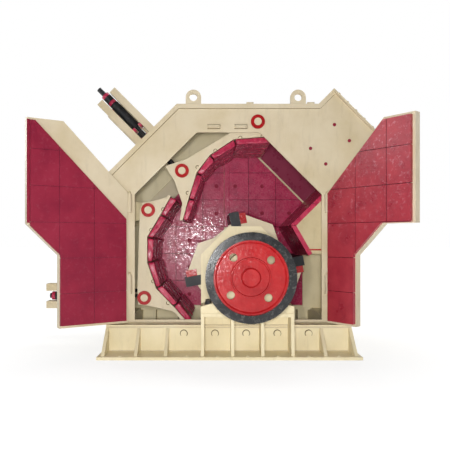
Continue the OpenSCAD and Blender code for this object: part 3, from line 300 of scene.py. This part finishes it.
def add_piece(name, grids, finish, body, wrap=True, smooth=True):
    """One mesh from grids of points: neighbours along both parameters share a quad, and rings that come
    to a point there are merged."""
    corners, start = [], 0
    for grid in grids:
        rows, columns = grid.shape[:2]
        index = start + np.arange(rows * columns).reshape(rows, columns)
        if wrap:
            index = np.concatenate([index, index[:, :1]], axis=1)
        quads = [index[:-1, :-1], index[1:, :-1], index[1:, 1:], index[:-1, 1:]]
        corners.append(np.stack(quads, -1).reshape(-1, 4))
        start += rows * columns
    points = np.concatenate([grid.reshape(-1, 3) for grid in grids])
    faces = np.concatenate(corners)
    mesh = bpy.data.meshes.new(name)
    mesh.vertices.add(len(points))
    mesh.vertices.foreach_set("co", points.ravel())
    mesh.loops.add(faces.size)
    mesh.loops.foreach_set("vertex_index", faces.ravel())
    mesh.polygons.add(len(faces))
    mesh.polygons.foreach_set("loop_start", np.arange(0, faces.size, 4))
    mesh.polygons.foreach_set("use_smooth", np.full(len(faces), smooth))
    mesh.update(calc_edges=True)
    whole = bmesh.new()
    whole.from_mesh(mesh)
    bmesh.ops.remove_doubles(whole, verts=whole.verts, dist=SAME_POINT)
    bmesh.ops.recalc_face_normals(whole, faces=whole.faces)
    whole.to_mesh(mesh)
    whole.free()
    mesh.materials.append(finish)
    made = bpy.data.objects.new(name, mesh)
    bpy.context.scene.collection.objects.link(made)
    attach(made, body)
    return made


def turned(profile, centre, axis, sides=24):
    """Surface of revolution: radius r and height h of the profile, and the angle a round the axis, give
    centre + h axis + r (cos a side + sin a up), with side and up square to the axis."""
    axis = np.array(axis, float) / np.linalg.norm(axis)
    side = np.cross(axis, [0.0, 1.0, 0.0] if abs(axis[1]) < 0.9 else [1.0, 0.0, 0.0])
    side /= np.linalg.norm(side)
    up = np.cross(axis, side)
    angle = np.arange(sides) / sides * 2 * np.pi
    ring = np.cos(angle)[:, None] * side + np.sin(angle)[:, None] * up
    radius, height = np.array(profile, float).T
    return np.array(centre) + height[:, None, None] * axis + radius[:, None, None] * ring


def bolt_profile(radius, head):
    """Hexagon head on a washer, with a chamfered top, from the seat upwards."""
    washer = 0.22 * head
    return [(0, 0), (1.35 * radius, 0), (1.35 * radius, 0.8 * washer), (1.28 * radius, washer),
            (radius, washer), (radius, 0.88 * head), (0.88 * radius, head), (0, head)]


def bead(first, last, radius, ripple=0.18, pitch=0.012):
    """Weld bead: a round section carried along a straight run, its radius swelling as a rounded
    sawtooth of the distance run, and closing to nothing at both ends."""
    first, last = np.array(first, float), np.array(last, float)
    length = np.linalg.norm(last - first)
    way = (last - first) / length
    run = np.linspace(0, length, max(12, int(length / pitch * 5)))
    swell = 1 + ripple * (np.abs(np.sin(np.pi * run / pitch)) - 0.5)
    close = np.clip(np.minimum(run, length - run) / (1.5 * radius), 0, 1) ** 0.5
    side = np.cross(way, [0.31, 0.77, 0.56])
    side /= np.linalg.norm(side)
    up = np.cross(way, side)
    angle = np.arange(8) / 8 * 2 * np.pi
    ring = np.cos(angle)[:, None] * side + np.sin(angle)[:, None] * up
    return first + run[:, None, None] * way + (radius * swell * close)[:, None, None] * ring


def arc_bead(centre, plane_x, plane_z, reach, start, end, radius):
    """Round section carried along an arc: angle b along the arc and a round the section give
    centre + (reach + radius cos a)(cos b x + sin b z) + radius sin a n."""
    plane_x, plane_z = np.array(plane_x, float), np.array(plane_z, float)
    normal = np.cross(plane_x, plane_z)
    count = 25
    along = np.radians(np.linspace(start, end, count))
    close = np.clip(np.minimum(np.arange(count), np.arange(count)[::-1]) / 2.0, 0, 1) ** 0.5
    outward = np.cos(along)[:, None] * plane_x + np.sin(along)[:, None] * plane_z
    angle = np.arange(10) / 10 * 2 * np.pi
    lift = (radius * close)[:, None, None]
    return (np.array(centre) + outward[:, None] * (reach + lift * np.cos(angle)[:, None])
            + lift * np.sin(angle)[:, None] * normal)


def staple(left, right, stand, radius):
    """Round bar handle: a round section carried along a path that leaves the wall, runs across and comes
    back, its corners rounded by a power curve of the angle (a superellipse of the fourth degree)."""
    left, right, stand = (np.array(p, float) for p in (left, right, stand))
    middle, half = (left + right) / 2, (right - left) / 2
    sweep = np.linspace(np.pi, 0, 41)
    across, out = np.cos(sweep), np.sin(sweep)
    across, out = np.sign(across) * np.abs(across) ** 0.35, np.abs(out) ** 0.35
    path = middle + across[:, None] * half + out[:, None] * stand
    way = np.gradient(path, axis=0)
    way /= np.linalg.norm(way, axis=1)[:, None]
    normal = np.cross(half, stand)
    normal /= np.linalg.norm(normal)
    side = np.cross(way, normal)
    angle = np.arange(12) / 12 * 2 * np.pi
    return path[:, None] + radius * (np.cos(angle)[:, None] * side[:, None] + np.sin(angle)[:, None] * normal)


def flat_bar(first, last, wide, deep):
    """Flat bar: a superellipse section of the eighth degree, with half axes wide and deep, along a
    straight run, drawn in at both ends."""
    first, last, wide, deep = (np.array(p, float) for p in (first, last, wide, deep))
    angle = (np.arange(32) + 0.5) / 32 * 2 * np.pi
    across = np.sign(np.cos(angle)) * np.abs(np.cos(angle)) ** 0.25
    up = np.sign(np.sin(angle)) * np.abs(np.sin(angle)) ** 0.25
    section = across[:, None] * wide + up[:, None] * deep
    run = np.array([0.0, 0.0, 0.004, 0.996, 1.0, 1.0])
    size = np.array([0.0, 0.9, 1.0, 1.0, 0.9, 0.0])
    return first + run[:, None, None] * (last - first) + size[:, None, None] * section


def swung(points, side):
    """Points of a closed door turned about its hinge to the way it stands."""
    joint = JOINTS["left_door_swing" if side < 0 else "right_door_swing"]
    angle = math.radians(joint["range_deg"][0]) * (1 if side < 0 else -1)
    cos, sin = math.cos(angle), math.sin(angle)
    turn = np.array([[cos, -sin, 0], [sin, cos, 0], [0, 0, 1]])
    hinge = np.array(joint["pos_m"])
    return (np.array(points) - hinge) @ turn.T + hinge, turn


def both_sides(points):
    """The points and their mirror images across the middle plane."""
    points = np.array(points, float)
    return np.concatenate([points, points * [1, -1, 1]])


def wall_pieces():
    """Bolts, handles, clips and welds of the housing, and dark beads painted as shadow by the handles and
    along the roof.
    """
    near, far = WALL_NEAR, WALL_FAR
    button = [(0, -0.002), (0.016, -0.002), (0.016, 0.002), (0.013, 0.004), (0.008, 0.004), (0.006, 0.002),
              (0, 0.002)]
    places = [(0.977, 2.071), (1.115, 1.924), (0.757, 1.853), (0.897, 1.71)]
    grids = [turned(button, (x, y, z), (0, way, 0)) for x, z in places for y, way in BOTH_WALLS]
    add_piece("cheek_bolts", grids, CRIMSON_FLAT, "root")

    handle_x, handle_z = (-0.131, 0.117), 2.052
    grip, stand, bar_r = 0.052, 0.036, 0.0095
    grids = [staple((x - grip, y, handle_z), (x + grip, y, handle_z), (0, way * stand, 0), bar_r)
             for x in handle_x for y, way in BOTH_WALLS]
    add_piece("wall_handles", grids, CREAM, "root")
    # Dark beads just above and below each handle: painted shadow
    shadow_half, shadow_rise, shadow_r = 0.062, 0.017, 0.0035
    grids = [bead((x - shadow_half, y, handle_z + rise), (x + shadow_half, y, handle_z + rise), shadow_r)
             for x in handle_x for y in (near, far) for rise in (-shadow_rise, shadow_rise)]
    add_piece("handle_seams", grids, SEAM_SHADOW, "root")

    # Dark beads along the roof's welds: painted shadow under the roof's edge
    roof_low, roof_shadow_r = [(-1.08, 1.597), (-0.456, 2.22), (0.846, 2.22), (0.983, 2.357)], 0.0032
    runs = [((a[0], y, a[1]), (b[0], y, b[1])) for a, b in zip(roof_low, roof_low[1:]) for y in (near, far)]
    add_piece("roof_seams", [bead(a, b, roof_shadow_r) for a, b in runs], SEAM_SHADOW, "root")
    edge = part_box("roof_top")
    clip_half, clip_z, clip_in = 0.032, 2.266, 0.024
    clip_wide, clip_deep = (0, 0.02, 0), (0, 0, 0.012)
    grids = [flat_bar((x - clip_half, y, clip_z), (x + clip_half, y, clip_z), clip_wide, clip_deep)
             for x in (0.2, 0.76) for y in (edge[0].y + clip_in, edge[1].y - clip_in)]
    add_piece("roof_clips", grids, CREAM, "root")

    foot, wall_half, base_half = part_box("near_wall")[0].z, 1.08, 1.085
    runs = [((-wall_half, y, foot), (wall_half, y, foot)) for y in (near, far)]
    lug_low, lug_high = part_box("lifting_lugs")
    lug_t, lug_half = 0.03, 0.068
    for x in (-0.32, 0.642):
        for y in (lug_low.y, lug_low.y + lug_t, lug_high.y, lug_high.y - lug_t):
            runs.append(((x - lug_half, y, lug_low.z), (x + lug_half, y, lug_low.z)))
    beam_seams = [(-base_half, base_half, 0.695, 0.025), (-base_half, base_half, 0.7, 0.235),
                  (-0.24, 0.55, 0.7, 0.255)]
    runs += [((a, way * y, z), (b, way * y, z)) for way in (-1, 1) for a, b, y, z in beam_seams]
    weld_r = 0.006
    add_piece("housing_welds", [bead(a, b, weld_r) for a, b in runs], CREAM, "root")

    flange_t, side_y, bolt_size = 0.018, 0.538, 0.012
    corner = np.array([0.955, 0, 2.385]) + flange_t * UP_RIGHT
    spots = [(t, y) for t in np.linspace(0.07, 0.61, 6) for y in (-side_y, side_y)]
    spots += [(t, y) for t in (0.02, 0.646) for y in np.linspace(-0.48, 0.48, 9)]
    grids = [turned(bolt_profile(bolt_size, bolt_size), corner + t * DOWN_RIGHT + [0, y, 0], UP_RIGHT, 6)
             for t, y in spots]
    add_piece("mouth_bolts", grids, CREAM_DULL, "root", smooth=False)


def bearing_pieces():
    """Foot and cover bolts of the two bearings."""
    foot_x, foot_y, foot_top = 0.335, (-0.71, -0.81), 0.452
    feet = both_sides([(ROTOR[0] + x, y, foot_top) for x in (-foot_x, foot_x) for y in foot_y])
    grids = [turned(bolt_profile(radius=0.026, head=0.034), p, (0, 0, 1), 6) for p in feet]
    ring_r, cover_y = 0.116, 0.895
    ring = np.radians(np.arange(6) * 60 + 30)
    for way in (-1, 1):
        for a in ring:
            spot = (ROTOR[0] + ring_r * math.cos(a), way * cover_y, ROTOR[2] + ring_r * math.sin(a))
            grids.append(turned(bolt_profile(radius=0.011, head=0.012), spot, (0, way, 0), 6))
    add_piece("bearing_bolts", grids, BLACK_SATIN, "root", smooth=False)


def joint_sheet(side, depth):
    """Dark sheet in the joints behind one closed door's tiles, standing for the shade down in them: height z
    runs up the door, and x goes from the outer edge, which falls in along the slope, to the meeting edge or
    the notch round the shaft plate, whichever comes first."""
    low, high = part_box("far_door_liners")
    outer_x, left_slope_sum, right_slope_z = 0.851, 2.049, 1.427
    left_edge, right_edge = -0.021, 0.041
    notch_half, notch_bend_z, notch_top = 0.42, 0.882, 1.151
    trim, step = 0.001, 0.0002
    height = np.concatenate([np.linspace(low.z + trim, notch_top, 40),
                             np.linspace(notch_top + step, high.z - trim, 30)])
    notch = np.where(height <= notch_top, notch_half - np.clip(height - notch_bend_z, 0, None), -1.0)
    if side < 0:
        outer = np.maximum(-outer_x, height - left_slope_sum)
        inner = np.minimum(left_edge, ROTOR[0] - notch)
    else:
        outer = outer_x - np.clip(height - right_slope_z, 0, None)
        inner = np.maximum(right_edge, ROTOR[0] + notch)
    across = outer[:, None] + (inner - outer)[:, None] * np.linspace(0, 1, 24)
    upward = np.broadcast_to(height[:, None], across.shape)
    return np.stack([across, np.full(across.shape, depth), upward], -1)


def tile_pieces():
    """Countersunk bolts of the liner tiles, a dark sheet in their joints as painted shade, and the nuts
    outside on the doors.
    """
    columns = (0.7045, 0.4045, 0.1045)
    rows = (0.4075, 0.7075, 1.0075, 1.3075, 1.6075)
    slope_sum, notch_half, notch_top = 2.05, 0.46, 1.2
    inside = [(s * x, z) for s in (-1, 1) for x in columns for z in rows
              if x + z < slope_sum and not (abs(s * x - ROTOR[0]) < notch_half and z < notch_top)]
    sunk = [(0, -0.002), (0.021, -0.002), (0.021, 0.0015), (0.017, 0.003), (0.013, 0.0015), (0.006, 0.001),
            (0, 0.001)]
    nut = bolt_profile(radius=0.016, head=0.018)
    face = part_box("far_door_liners")[0].y
    grids = [turned(sunk, (x, face, z), (0, -1, 0)) for x, z in inside]
    add_piece("far_tile_bolts", grids, CRIMSON_FLAT, "root")
    far_sink = 0.003
    # Dark sheets behind the far tiles' joints: painted shade
    grids = [joint_sheet(side, face + far_sink) for side in (-1, 1)]
    add_piece("far_tile_joints", grids, DEEP_JOINT_SHADE, "root", wrap=False)
    strip_x, strip_half, strip_depth, strip_low, strip_high = 0.0118, 0.0288, 0.0135, 1.155, 1.985
    strip = flat_bar((strip_x, face + strip_depth, strip_low), (strip_x, face + strip_depth, strip_high),
                     (strip_half, 0, 0), (0, 0.013, 0))
    add_piece("far_joint_strip", [strip], CRIMSON_ROUGH, "root", smooth=False)
    rim = 0.055
    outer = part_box("far_doors")[1].y - rim
    grids = [turned(nut, (x, outer, z), (0, 1, 0), 6) for x, z in inside]
    add_piece("far_door_nuts", grids, CREAM_DULL, "root", smooth=False)
    plate_out, near_sink = 0.026, 0.021
    for side, body in ((-1, "left_door"), (1, "right_door")):
        mine = [(x, z) for x, z in inside if x * side > 0]
        spots, turn = swung([(x, WALL_NEAR - plate_out, z) for x, z in mine], side)
        way = turn @ np.array([0, -1, 0])
        add_piece(body + "_nuts", [turned(nut, p, way, 6) for p in spots], CREAM_DULL, body,
                  smooth=False)
        # Dark sheet behind each door's tile joints: painted shade
        sheet = swung(joint_sheet(side, WALL_NEAR + near_sink), side)[0]
        joint_shade = LEFT_JOINT_SHADE if side < 0 else DEEP_JOINT_SHADE
        add_piece(body + "_joints", [sheet], joint_shade, body, wrap=False)
    edge_x, edge_y, edge_low, edge_high = -0.0095, WALL_NEAR - 0.0055, 1.15, 2.0
    edge = flat_bar((edge_x, edge_y, edge_low), (edge_x, edge_y, edge_high), (0.0125, 0, 0), (0, 0.0025, 0))
    edge = swung(edge, -1)[0]
    add_piece("left_door_edge", [edge], CRIMSON_FLAT, "left_door", smooth=False)


def hinge_pieces():
    """Domed heads on the hinge pins."""
    dome = [(0, 0), (0.017, 0), (0.017, 0.004), (0.014, 0.009), (0.008, 0.012), (0, 0.013)]
    pin_tops = (0.702, 1.442)
    hinge_x, hinge_y = 0.905, -0.575
    grids = [turned(dome, (x, hinge_y, z), (0, 0, 1)) for x in (-hinge_x, hinge_x) for z in pin_tops]
    add_piece("hinge_pin_heads", grids, CREAM_DULL, "root")


def block_sections(room, stations):
    """Sections of an apron's blocks in the x-z plane: a station at its angle round the rotor stands its share
    of the room outside the blow bars' circle, and the seat is the same path moved out with mitred corners."""
    turn, share = np.radians([s[0] for s in stations]), np.array([s[1] for s in stations])
    spokes = np.stack([np.cos(turn), np.sin(turn)], -1)
    face = ROTOR[[0, 2]] + (TIP_R + room * share)[:, None] * spokes
    way = np.diff(face, axis=0)
    way /= np.linalg.norm(way, axis=1)[:, None]
    out = np.stack([way[:, 1], -way[:, 0]], -1)
    before, after = np.concatenate([out[:1], out]), np.concatenate([out, out[-1:]])
    seat = face + BLOCK_T * (before + after) / (1 + (before * after).sum(1))[:, None]
    gap = 0.003
    joint = gap * way
    return np.stack([seat[:-1] + joint, seat[1:] - joint, face[:-1] + joint, face[1:] - joint], 1)


def cast_block(section, low, high, lean, phase):
    """Cast liner block: a superellipse of the eighth degree in a square (a, b) is laid between the corners of
    the section, a along it and b from seat to face, and carried from low to high, drawn in to a point at both
    ends. The face leans back as a grows, and the skin sinks by a sum of three sine waves of its place."""
    angle = (np.arange(56) + 0.5) / 56 * 2 * np.pi
    a = np.sign(np.cos(angle)) * np.abs(np.cos(angle)) ** 0.25
    b = np.sign(np.sin(angle)) * np.abs(np.sin(angle)) ** 0.25
    close = np.array([0.0, 0.3, 0.6, 0.84, 0.95, 0.985, 1.0])
    inset = np.array([0.0, 0.0, 0.0, 0.0, 0.002, 0.006, 0.013])
    size = np.concatenate([close, np.ones(7), close[::-1]])[:, None]
    run = np.concatenate([low + inset, np.linspace(low, high, 9)[1:-1], high - inset[::-1]])[:, None]
    a, b = a * size, b * size
    seat_l, seat_r, face_l, face_r = section
    long, thick = np.linalg.norm(face_r - face_l) / 2, BLOCK_T / 2

    def laid(a, b):
        u, v = (a[..., None] + 1) / 2, (b[..., None] + 1) / 2
        return (1 - v) * ((1 - u) * seat_l + u * seat_r) + v * ((1 - u) * face_l + u * face_r)

    spot = laid(a, b)
    x, z, y = spot[..., 0], spot[..., 1], np.broadcast_to(run, a.shape)
    wave = (0.5 + 0.24 * np.sin(61 * x + 37 * z + 23 * y + phase)
            + 0.15 * np.sin(83 * z - 47 * x + 91 * y + 2 * phase)
            + 0.11 * np.sin(150 * x - 131 * z + 170 * y + 3 * phase))
    skin = 0.007
    sink = skin * wave
    b = b * (1 - sink / thick) - lean / thick * (1 + a) * (1 + b) / 4
    a = a * (1 - sink / long)
    middle, half = (low + high) / 2, (high - low) / 2
    across = middle + (y - middle) * (1 - sink / half)
    spot = laid(a, b)
    return np.stack([spot[..., 0], across, spot[..., 1]], -1)


def apron_blocks():
    """Cast blocks of both aprons, three across the chamber on each facet, each leaning its own way."""
    paths = {"primary_apron": (0.819, [(78, 0.8132), (93.7, 0.7509), (105, 0.63), (113.7, 0.503),
                                       (124.9, 0.3004), (138.2, 0.1624)]),
             "secondary_apron": (0.675, [(133.4, 0.5363), (145.6, 0.48), (160.3, 0.5023), (173.8, 0.4297),
                                         (189.4, 0.3274), (205, 0.1778), (223, 0.1363)])}
    row, gap, stagger = 3, 0.003, 0.006
    lean, more_lean = 0.006, 0.01
    for body, (room, stations) in paths.items():
        half = -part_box(body + "_liners")[0].y
        ends = np.linspace(-half, half, row + 1)
        grids = []
        for i, section in enumerate(block_sections(room, stations)):
            for k in range(row):
                chance = 0.5 + 0.5 * math.sin(12.9 * i + 7.3 * k)
                low, high = ends[k] + gap + stagger * chance, ends[k + 1] - gap
                grids.append(cast_block(section, low, high, lean + more_lean * chance, 2.1 * i + 1.3 * k))
        blocks = add_piece(body + "_blocks", grids, CRIMSON_BLOCK, body)
        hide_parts(body + "_liners")


def apron_pieces():
    """Half round seams of the liner bolts on the aprons' side plates, dark with painted shadow."""
    half_w = -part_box("primary_apron_liners")[0].y
    marks = {"primary_apron": [(0.115, 1.965, 85), (0.322, 1.978, 90), (-0.119, 1.844, 115),
                               (-0.286, 1.69, 135), (-0.377, 1.45, 160)],
             "secondary_apron": [(-0.606, 1.296, 150), (-0.717, 1.103, 165), (-0.7, 0.624, 190),
                                 (-0.56, 0.421, 220)]}
    reach, half_turn, shadow_r = 0.015, 110, 0.0035
    for body, places in marks.items():
        grids = [arc_bead((x, y, z), (1, 0, 0), (0, 0, 1), reach, turn - half_turn, turn + half_turn, shadow_r)
                 for x, z, turn in places for y in (-half_w, half_w)]
        add_piece(body + "_seams", grids, SEAM_SHADOW, body)


def adjuster_pieces():
    """Disc spring packs, red forks under them and red collars along the adjuster rods."""
    up, level = UP_RIGHT, np.array([0.0, 0, 1])
    top, left = np.array([-1, 0, 1]) / math.sqrt(2), np.array([-1.0, 0, 0])
    rod_y, wall_x = (-0.25, 0.25), -1.08
    feet = [(np.array([-0.7535, y, 1.9795]), top, up, "primary_rods") for y in rod_y]
    feet += [(np.array([wall_x, y, SECONDARY_PIN[2]]), left, level, "secondary_rods") for y in rod_y]
    count, pitch, pack_low, core_r, rim_r, disc_r = 26, 0.01207, 0.1806, 0.03, 0.037, 0.044
    heights = np.repeat(pack_low + np.arange(count) * pitch, 4) + np.tile([0, 0.0022, 0.0058, 0.008], count)
    radii = np.tile([rim_r, disc_r, disc_r, rim_r], count)
    pack = [(core_r, heights[0])] + list(zip(radii, heights)) + [(core_r, heights[-1])]
    springs = add_piece("spring_packs", [turned(pack, p, n, 40) for p, n, _, _ in feet], BLACK_SATIN, "root")
    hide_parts("adjuster_springs")
    fork_h, fork_in, fork_out, fork_half = 0.165, 0.0245, 0.0495, 0.019
    grids = [flat_bar(p + fork_h * n + s * fork_in * x, p + fork_h * n + s * fork_out * x, fork_half * n,
                      (0, 0.06, 0)) for p, n, x, _ in feet for s in (-1, 1)]
    add_piece("spring_forks", grids, CRIMSON_BLOCK, "root")
    bore_r, chamfer_r, collar_r, chamfer, flat, collar_h = 0.024, 0.039, 0.0408, 0.002, 0.0315, 0.0335
    collars = [[(bore_r, h), (chamfer_r, h), (collar_r, h + chamfer), (collar_r, h + flat),
                (chamfer_r, h + collar_h), (bore_r, h + collar_h)] for h in (0.4956, 0.5857)]
    for body in ("primary_rods", "secondary_rods"):
        grids = [turned(ring, p, n, 32) for p, n, _, b in feet if b == body for ring in collars]
        add_piece(body + "_collars", grids, CRIMSON_BLOCK, body)


def base_pieces():
    """Dark arcs round the heads on the base web: painted shadow round the heads."""
    pitch, web_y, head_z = 0.277, -0.697, 0.18
    heads = both_sides([(ROTOR[0] + i * pitch, web_y, head_z) for i in range(-2, 3)])
    reach, start, end, shadow_r = 0.029, -50, 230, 0.0055
    grids = [arc_bead(p, (1, 0, 0), (0, 0, 1), reach, start, end, shadow_r) for p in heads]
    add_piece("base_head_seams", grids, SEAM_SHADOW, "root")


def feed_pieces():
    """Red strip let into the foot of the feed wedge, and a maroon bar between cheek plates and feed blocks
    that covers the wall's edge there with painted shade.
    """
    low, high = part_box("feed_wedge")
    strip_z, strip_ends = 0.92, (0.735, 0.99)
    grids = [flat_bar((strip_ends[0], y, strip_z), (strip_ends[1], y, strip_z), (0, 0, 0.007), (0, 0.003, 0))
             for y in (low.y, high.y)]
    add_piece("wedge_strips", grids, SIGNAL_RED, "root")
    # Maroon bars over the far wall's edge beside the cheek plates: painted shade
    off, half_wide, half_deep, shade_bar_y = 0.006, 0.0058, 0.0065, 0.503
    ends = ((0.8613, 0, 1.4456), (1.36, 0, 1.9443))
    first, last = (np.array(p) + off * DOWN_RIGHT for p in ends)
    grids = [flat_bar(first + [0, y, 0], last + [0, y, 0], half_wide * DOWN_RIGHT, (0, half_deep, 0))
             for y in (-shade_bar_y, shade_bar_y)]
    add_piece("cheek_fills", grids, CRIMSON_FEED, "root")


# Floor, light and camera

def studio():
    """A pale floor under white light: the floor keeps a soft shadow and shows white to the camera."""
    made, tree = new_material("pale_studio_floor")
    ray = node(tree, "ShaderNodeLightPath").outputs
    seen = node(tree, "ShaderNodeMath", {0: ray["Is Camera Ray"], 1: ray["Is Glossy Ray"]},
                operation="MAXIMUM").outputs["Value"]
    shown = node(tree, "ShaderNodeMath", {0: seen, 1: ray["Is Transmission Ray"]},
                 operation="MAXIMUM").outputs["Value"]
    place = node(tree, "ShaderNodeTexCoord").outputs["Object"]
    away = node(tree, "ShaderNodeVectorMath", {0: place}, operation="LENGTH").outputs["Value"]
    fade = node(tree, "ShaderNodeMapRange", {"Value": away, "From Min": 1.4, "From Max": 3.4, "To Min": 0.7,
                                             "To Max": 1.0}).outputs["Result"]
    share = node(tree, "ShaderNodeMath", {0: shown, 1: fade}, operation="MULTIPLY").outputs["Value"]
    matt = node(tree, "ShaderNodeBsdfDiffuse", {"Color": linear("#F2F1EE")}).outputs["BSDF"]
    white = node(tree, "ShaderNodeEmission", {
        "Color": linear("#FFFFFF"), "Strength": 1.1}).outputs["Emission"]
    mixed = node(tree, "ShaderNodeMixShader", {0: share, 1: matt, 2: white}).outputs["Shader"]
    node(tree, "ShaderNodeOutputMaterial", {"Surface": mixed})
    reach = 60.0
    mesh = bpy.data.meshes.new("studio_floor")
    mesh.from_pydata([(-reach, -reach, 0), (reach, -reach, 0), (reach, reach, 0), (-reach, reach, 0)],
                     [], [(0, 1, 2, 3)])
    mesh.materials.append(made)
    floor = bpy.data.objects.new("studio_floor", mesh)
    bpy.context.scene.collection.objects.link(floor)

    world = bpy.data.worlds.new("studio_world")
    world.use_nodes = True
    tree = world.node_tree
    tree.nodes.clear()
    ray = node(tree, "ShaderNodeLightPath").outputs
    seen = node(tree, "ShaderNodeMath", {0: ray["Is Camera Ray"], 1: ray["Is Transmission Ray"]},
                operation="MAXIMUM").outputs["Value"]
    power = node(tree, "ShaderNodeMapRange", {"Value": seen, "To Min": 0.1, "To Max": 1.0}).outputs["Result"]
    sky = node(tree, "ShaderNodeBackground", {"Color": linear("#FFFFFF"), "Strength": power})
    node(tree, "ShaderNodeOutputWorld", {"Surface": sky.outputs["Background"]})
    bpy.context.scene.world = world

    def area(name, place, size, watts, aim=(0.0, 0.0, 1.0), glossy=True):
        light = bpy.data.lights.new(name, "AREA")
        light.shape = "DISK"
        light.size = size
        light.energy = watts
        lamp = bpy.data.objects.new(name, light)
        lamp.location = place
        way = np.array(aim) - np.array(place)
        lamp.rotation_euler = (math.atan2(math.hypot(way[0], way[1]), -way[2]), 0,
                               math.atan2(way[1], way[0]) - math.pi / 2)
        lamp.visible_glossy = glossy
        bpy.context.scene.collection.objects.link(lamp)

    area("front_light", (-0.13, -5.6, 1.06), size=0.4, watts=142, glossy=False)
    area("glint_light", (-0.52, -5.6, 0.95), size=0.16, watts=52)
    area("key_light", (-3.2, -6.0, 4.8), size=2.4, watts=22)
    area("sheen_light", (-6.0, -1.8, 3.4), size=1.5, watts=42, aim=(1.2, -0.9, 1.6))
    area("left_light", (-6.5, 2.0, 3.0), size=2.4, watts=130)
    area("right_light", (6.5, 2.0, 3.0), size=2.4, watts=170)
    area("top_light", (0.5, 1.5, 6.0), size=3.0, watts=150, aim=(0.0, 0.0, 1.5))
    area("back_light", (1.5, 7.0, 3.5), size=2.4, watts=200)


def camera():
    """Camera square to the drive side; its distance follows from the near and far walls' sizes in view."""
    frame_px, focal_px, centre_px = 450, 530, (214, 240)
    eye_place = (-0.131, -5.406, 1.010)
    made = bpy.data.cameras.new("view_camera")
    made.sensor_width = 36
    made.lens = focal_px / frame_px * made.sensor_width
    made.shift_x = 0.5 - centre_px[0] / frame_px
    made.shift_y = centre_px[1] / frame_px - 0.5
    made.clip_end = 200
    eye = bpy.data.objects.new("view_camera", made)
    eye.location = eye_place
    eye.rotation_euler = (math.pi / 2, 0, 0)
    bpy.context.scene.collection.objects.link(eye)
    bpy.context.scene.camera = eye


bpy.context.scene.view_settings.view_transform = "Standard"
finish_nodes()
soften()
wall_pieces()
bearing_pieces()
tile_pieces()
hinge_pieces()
apron_blocks()
apron_pieces()
adjuster_pieces()
feed_pieces()
base_pieces()
studio()
camera()
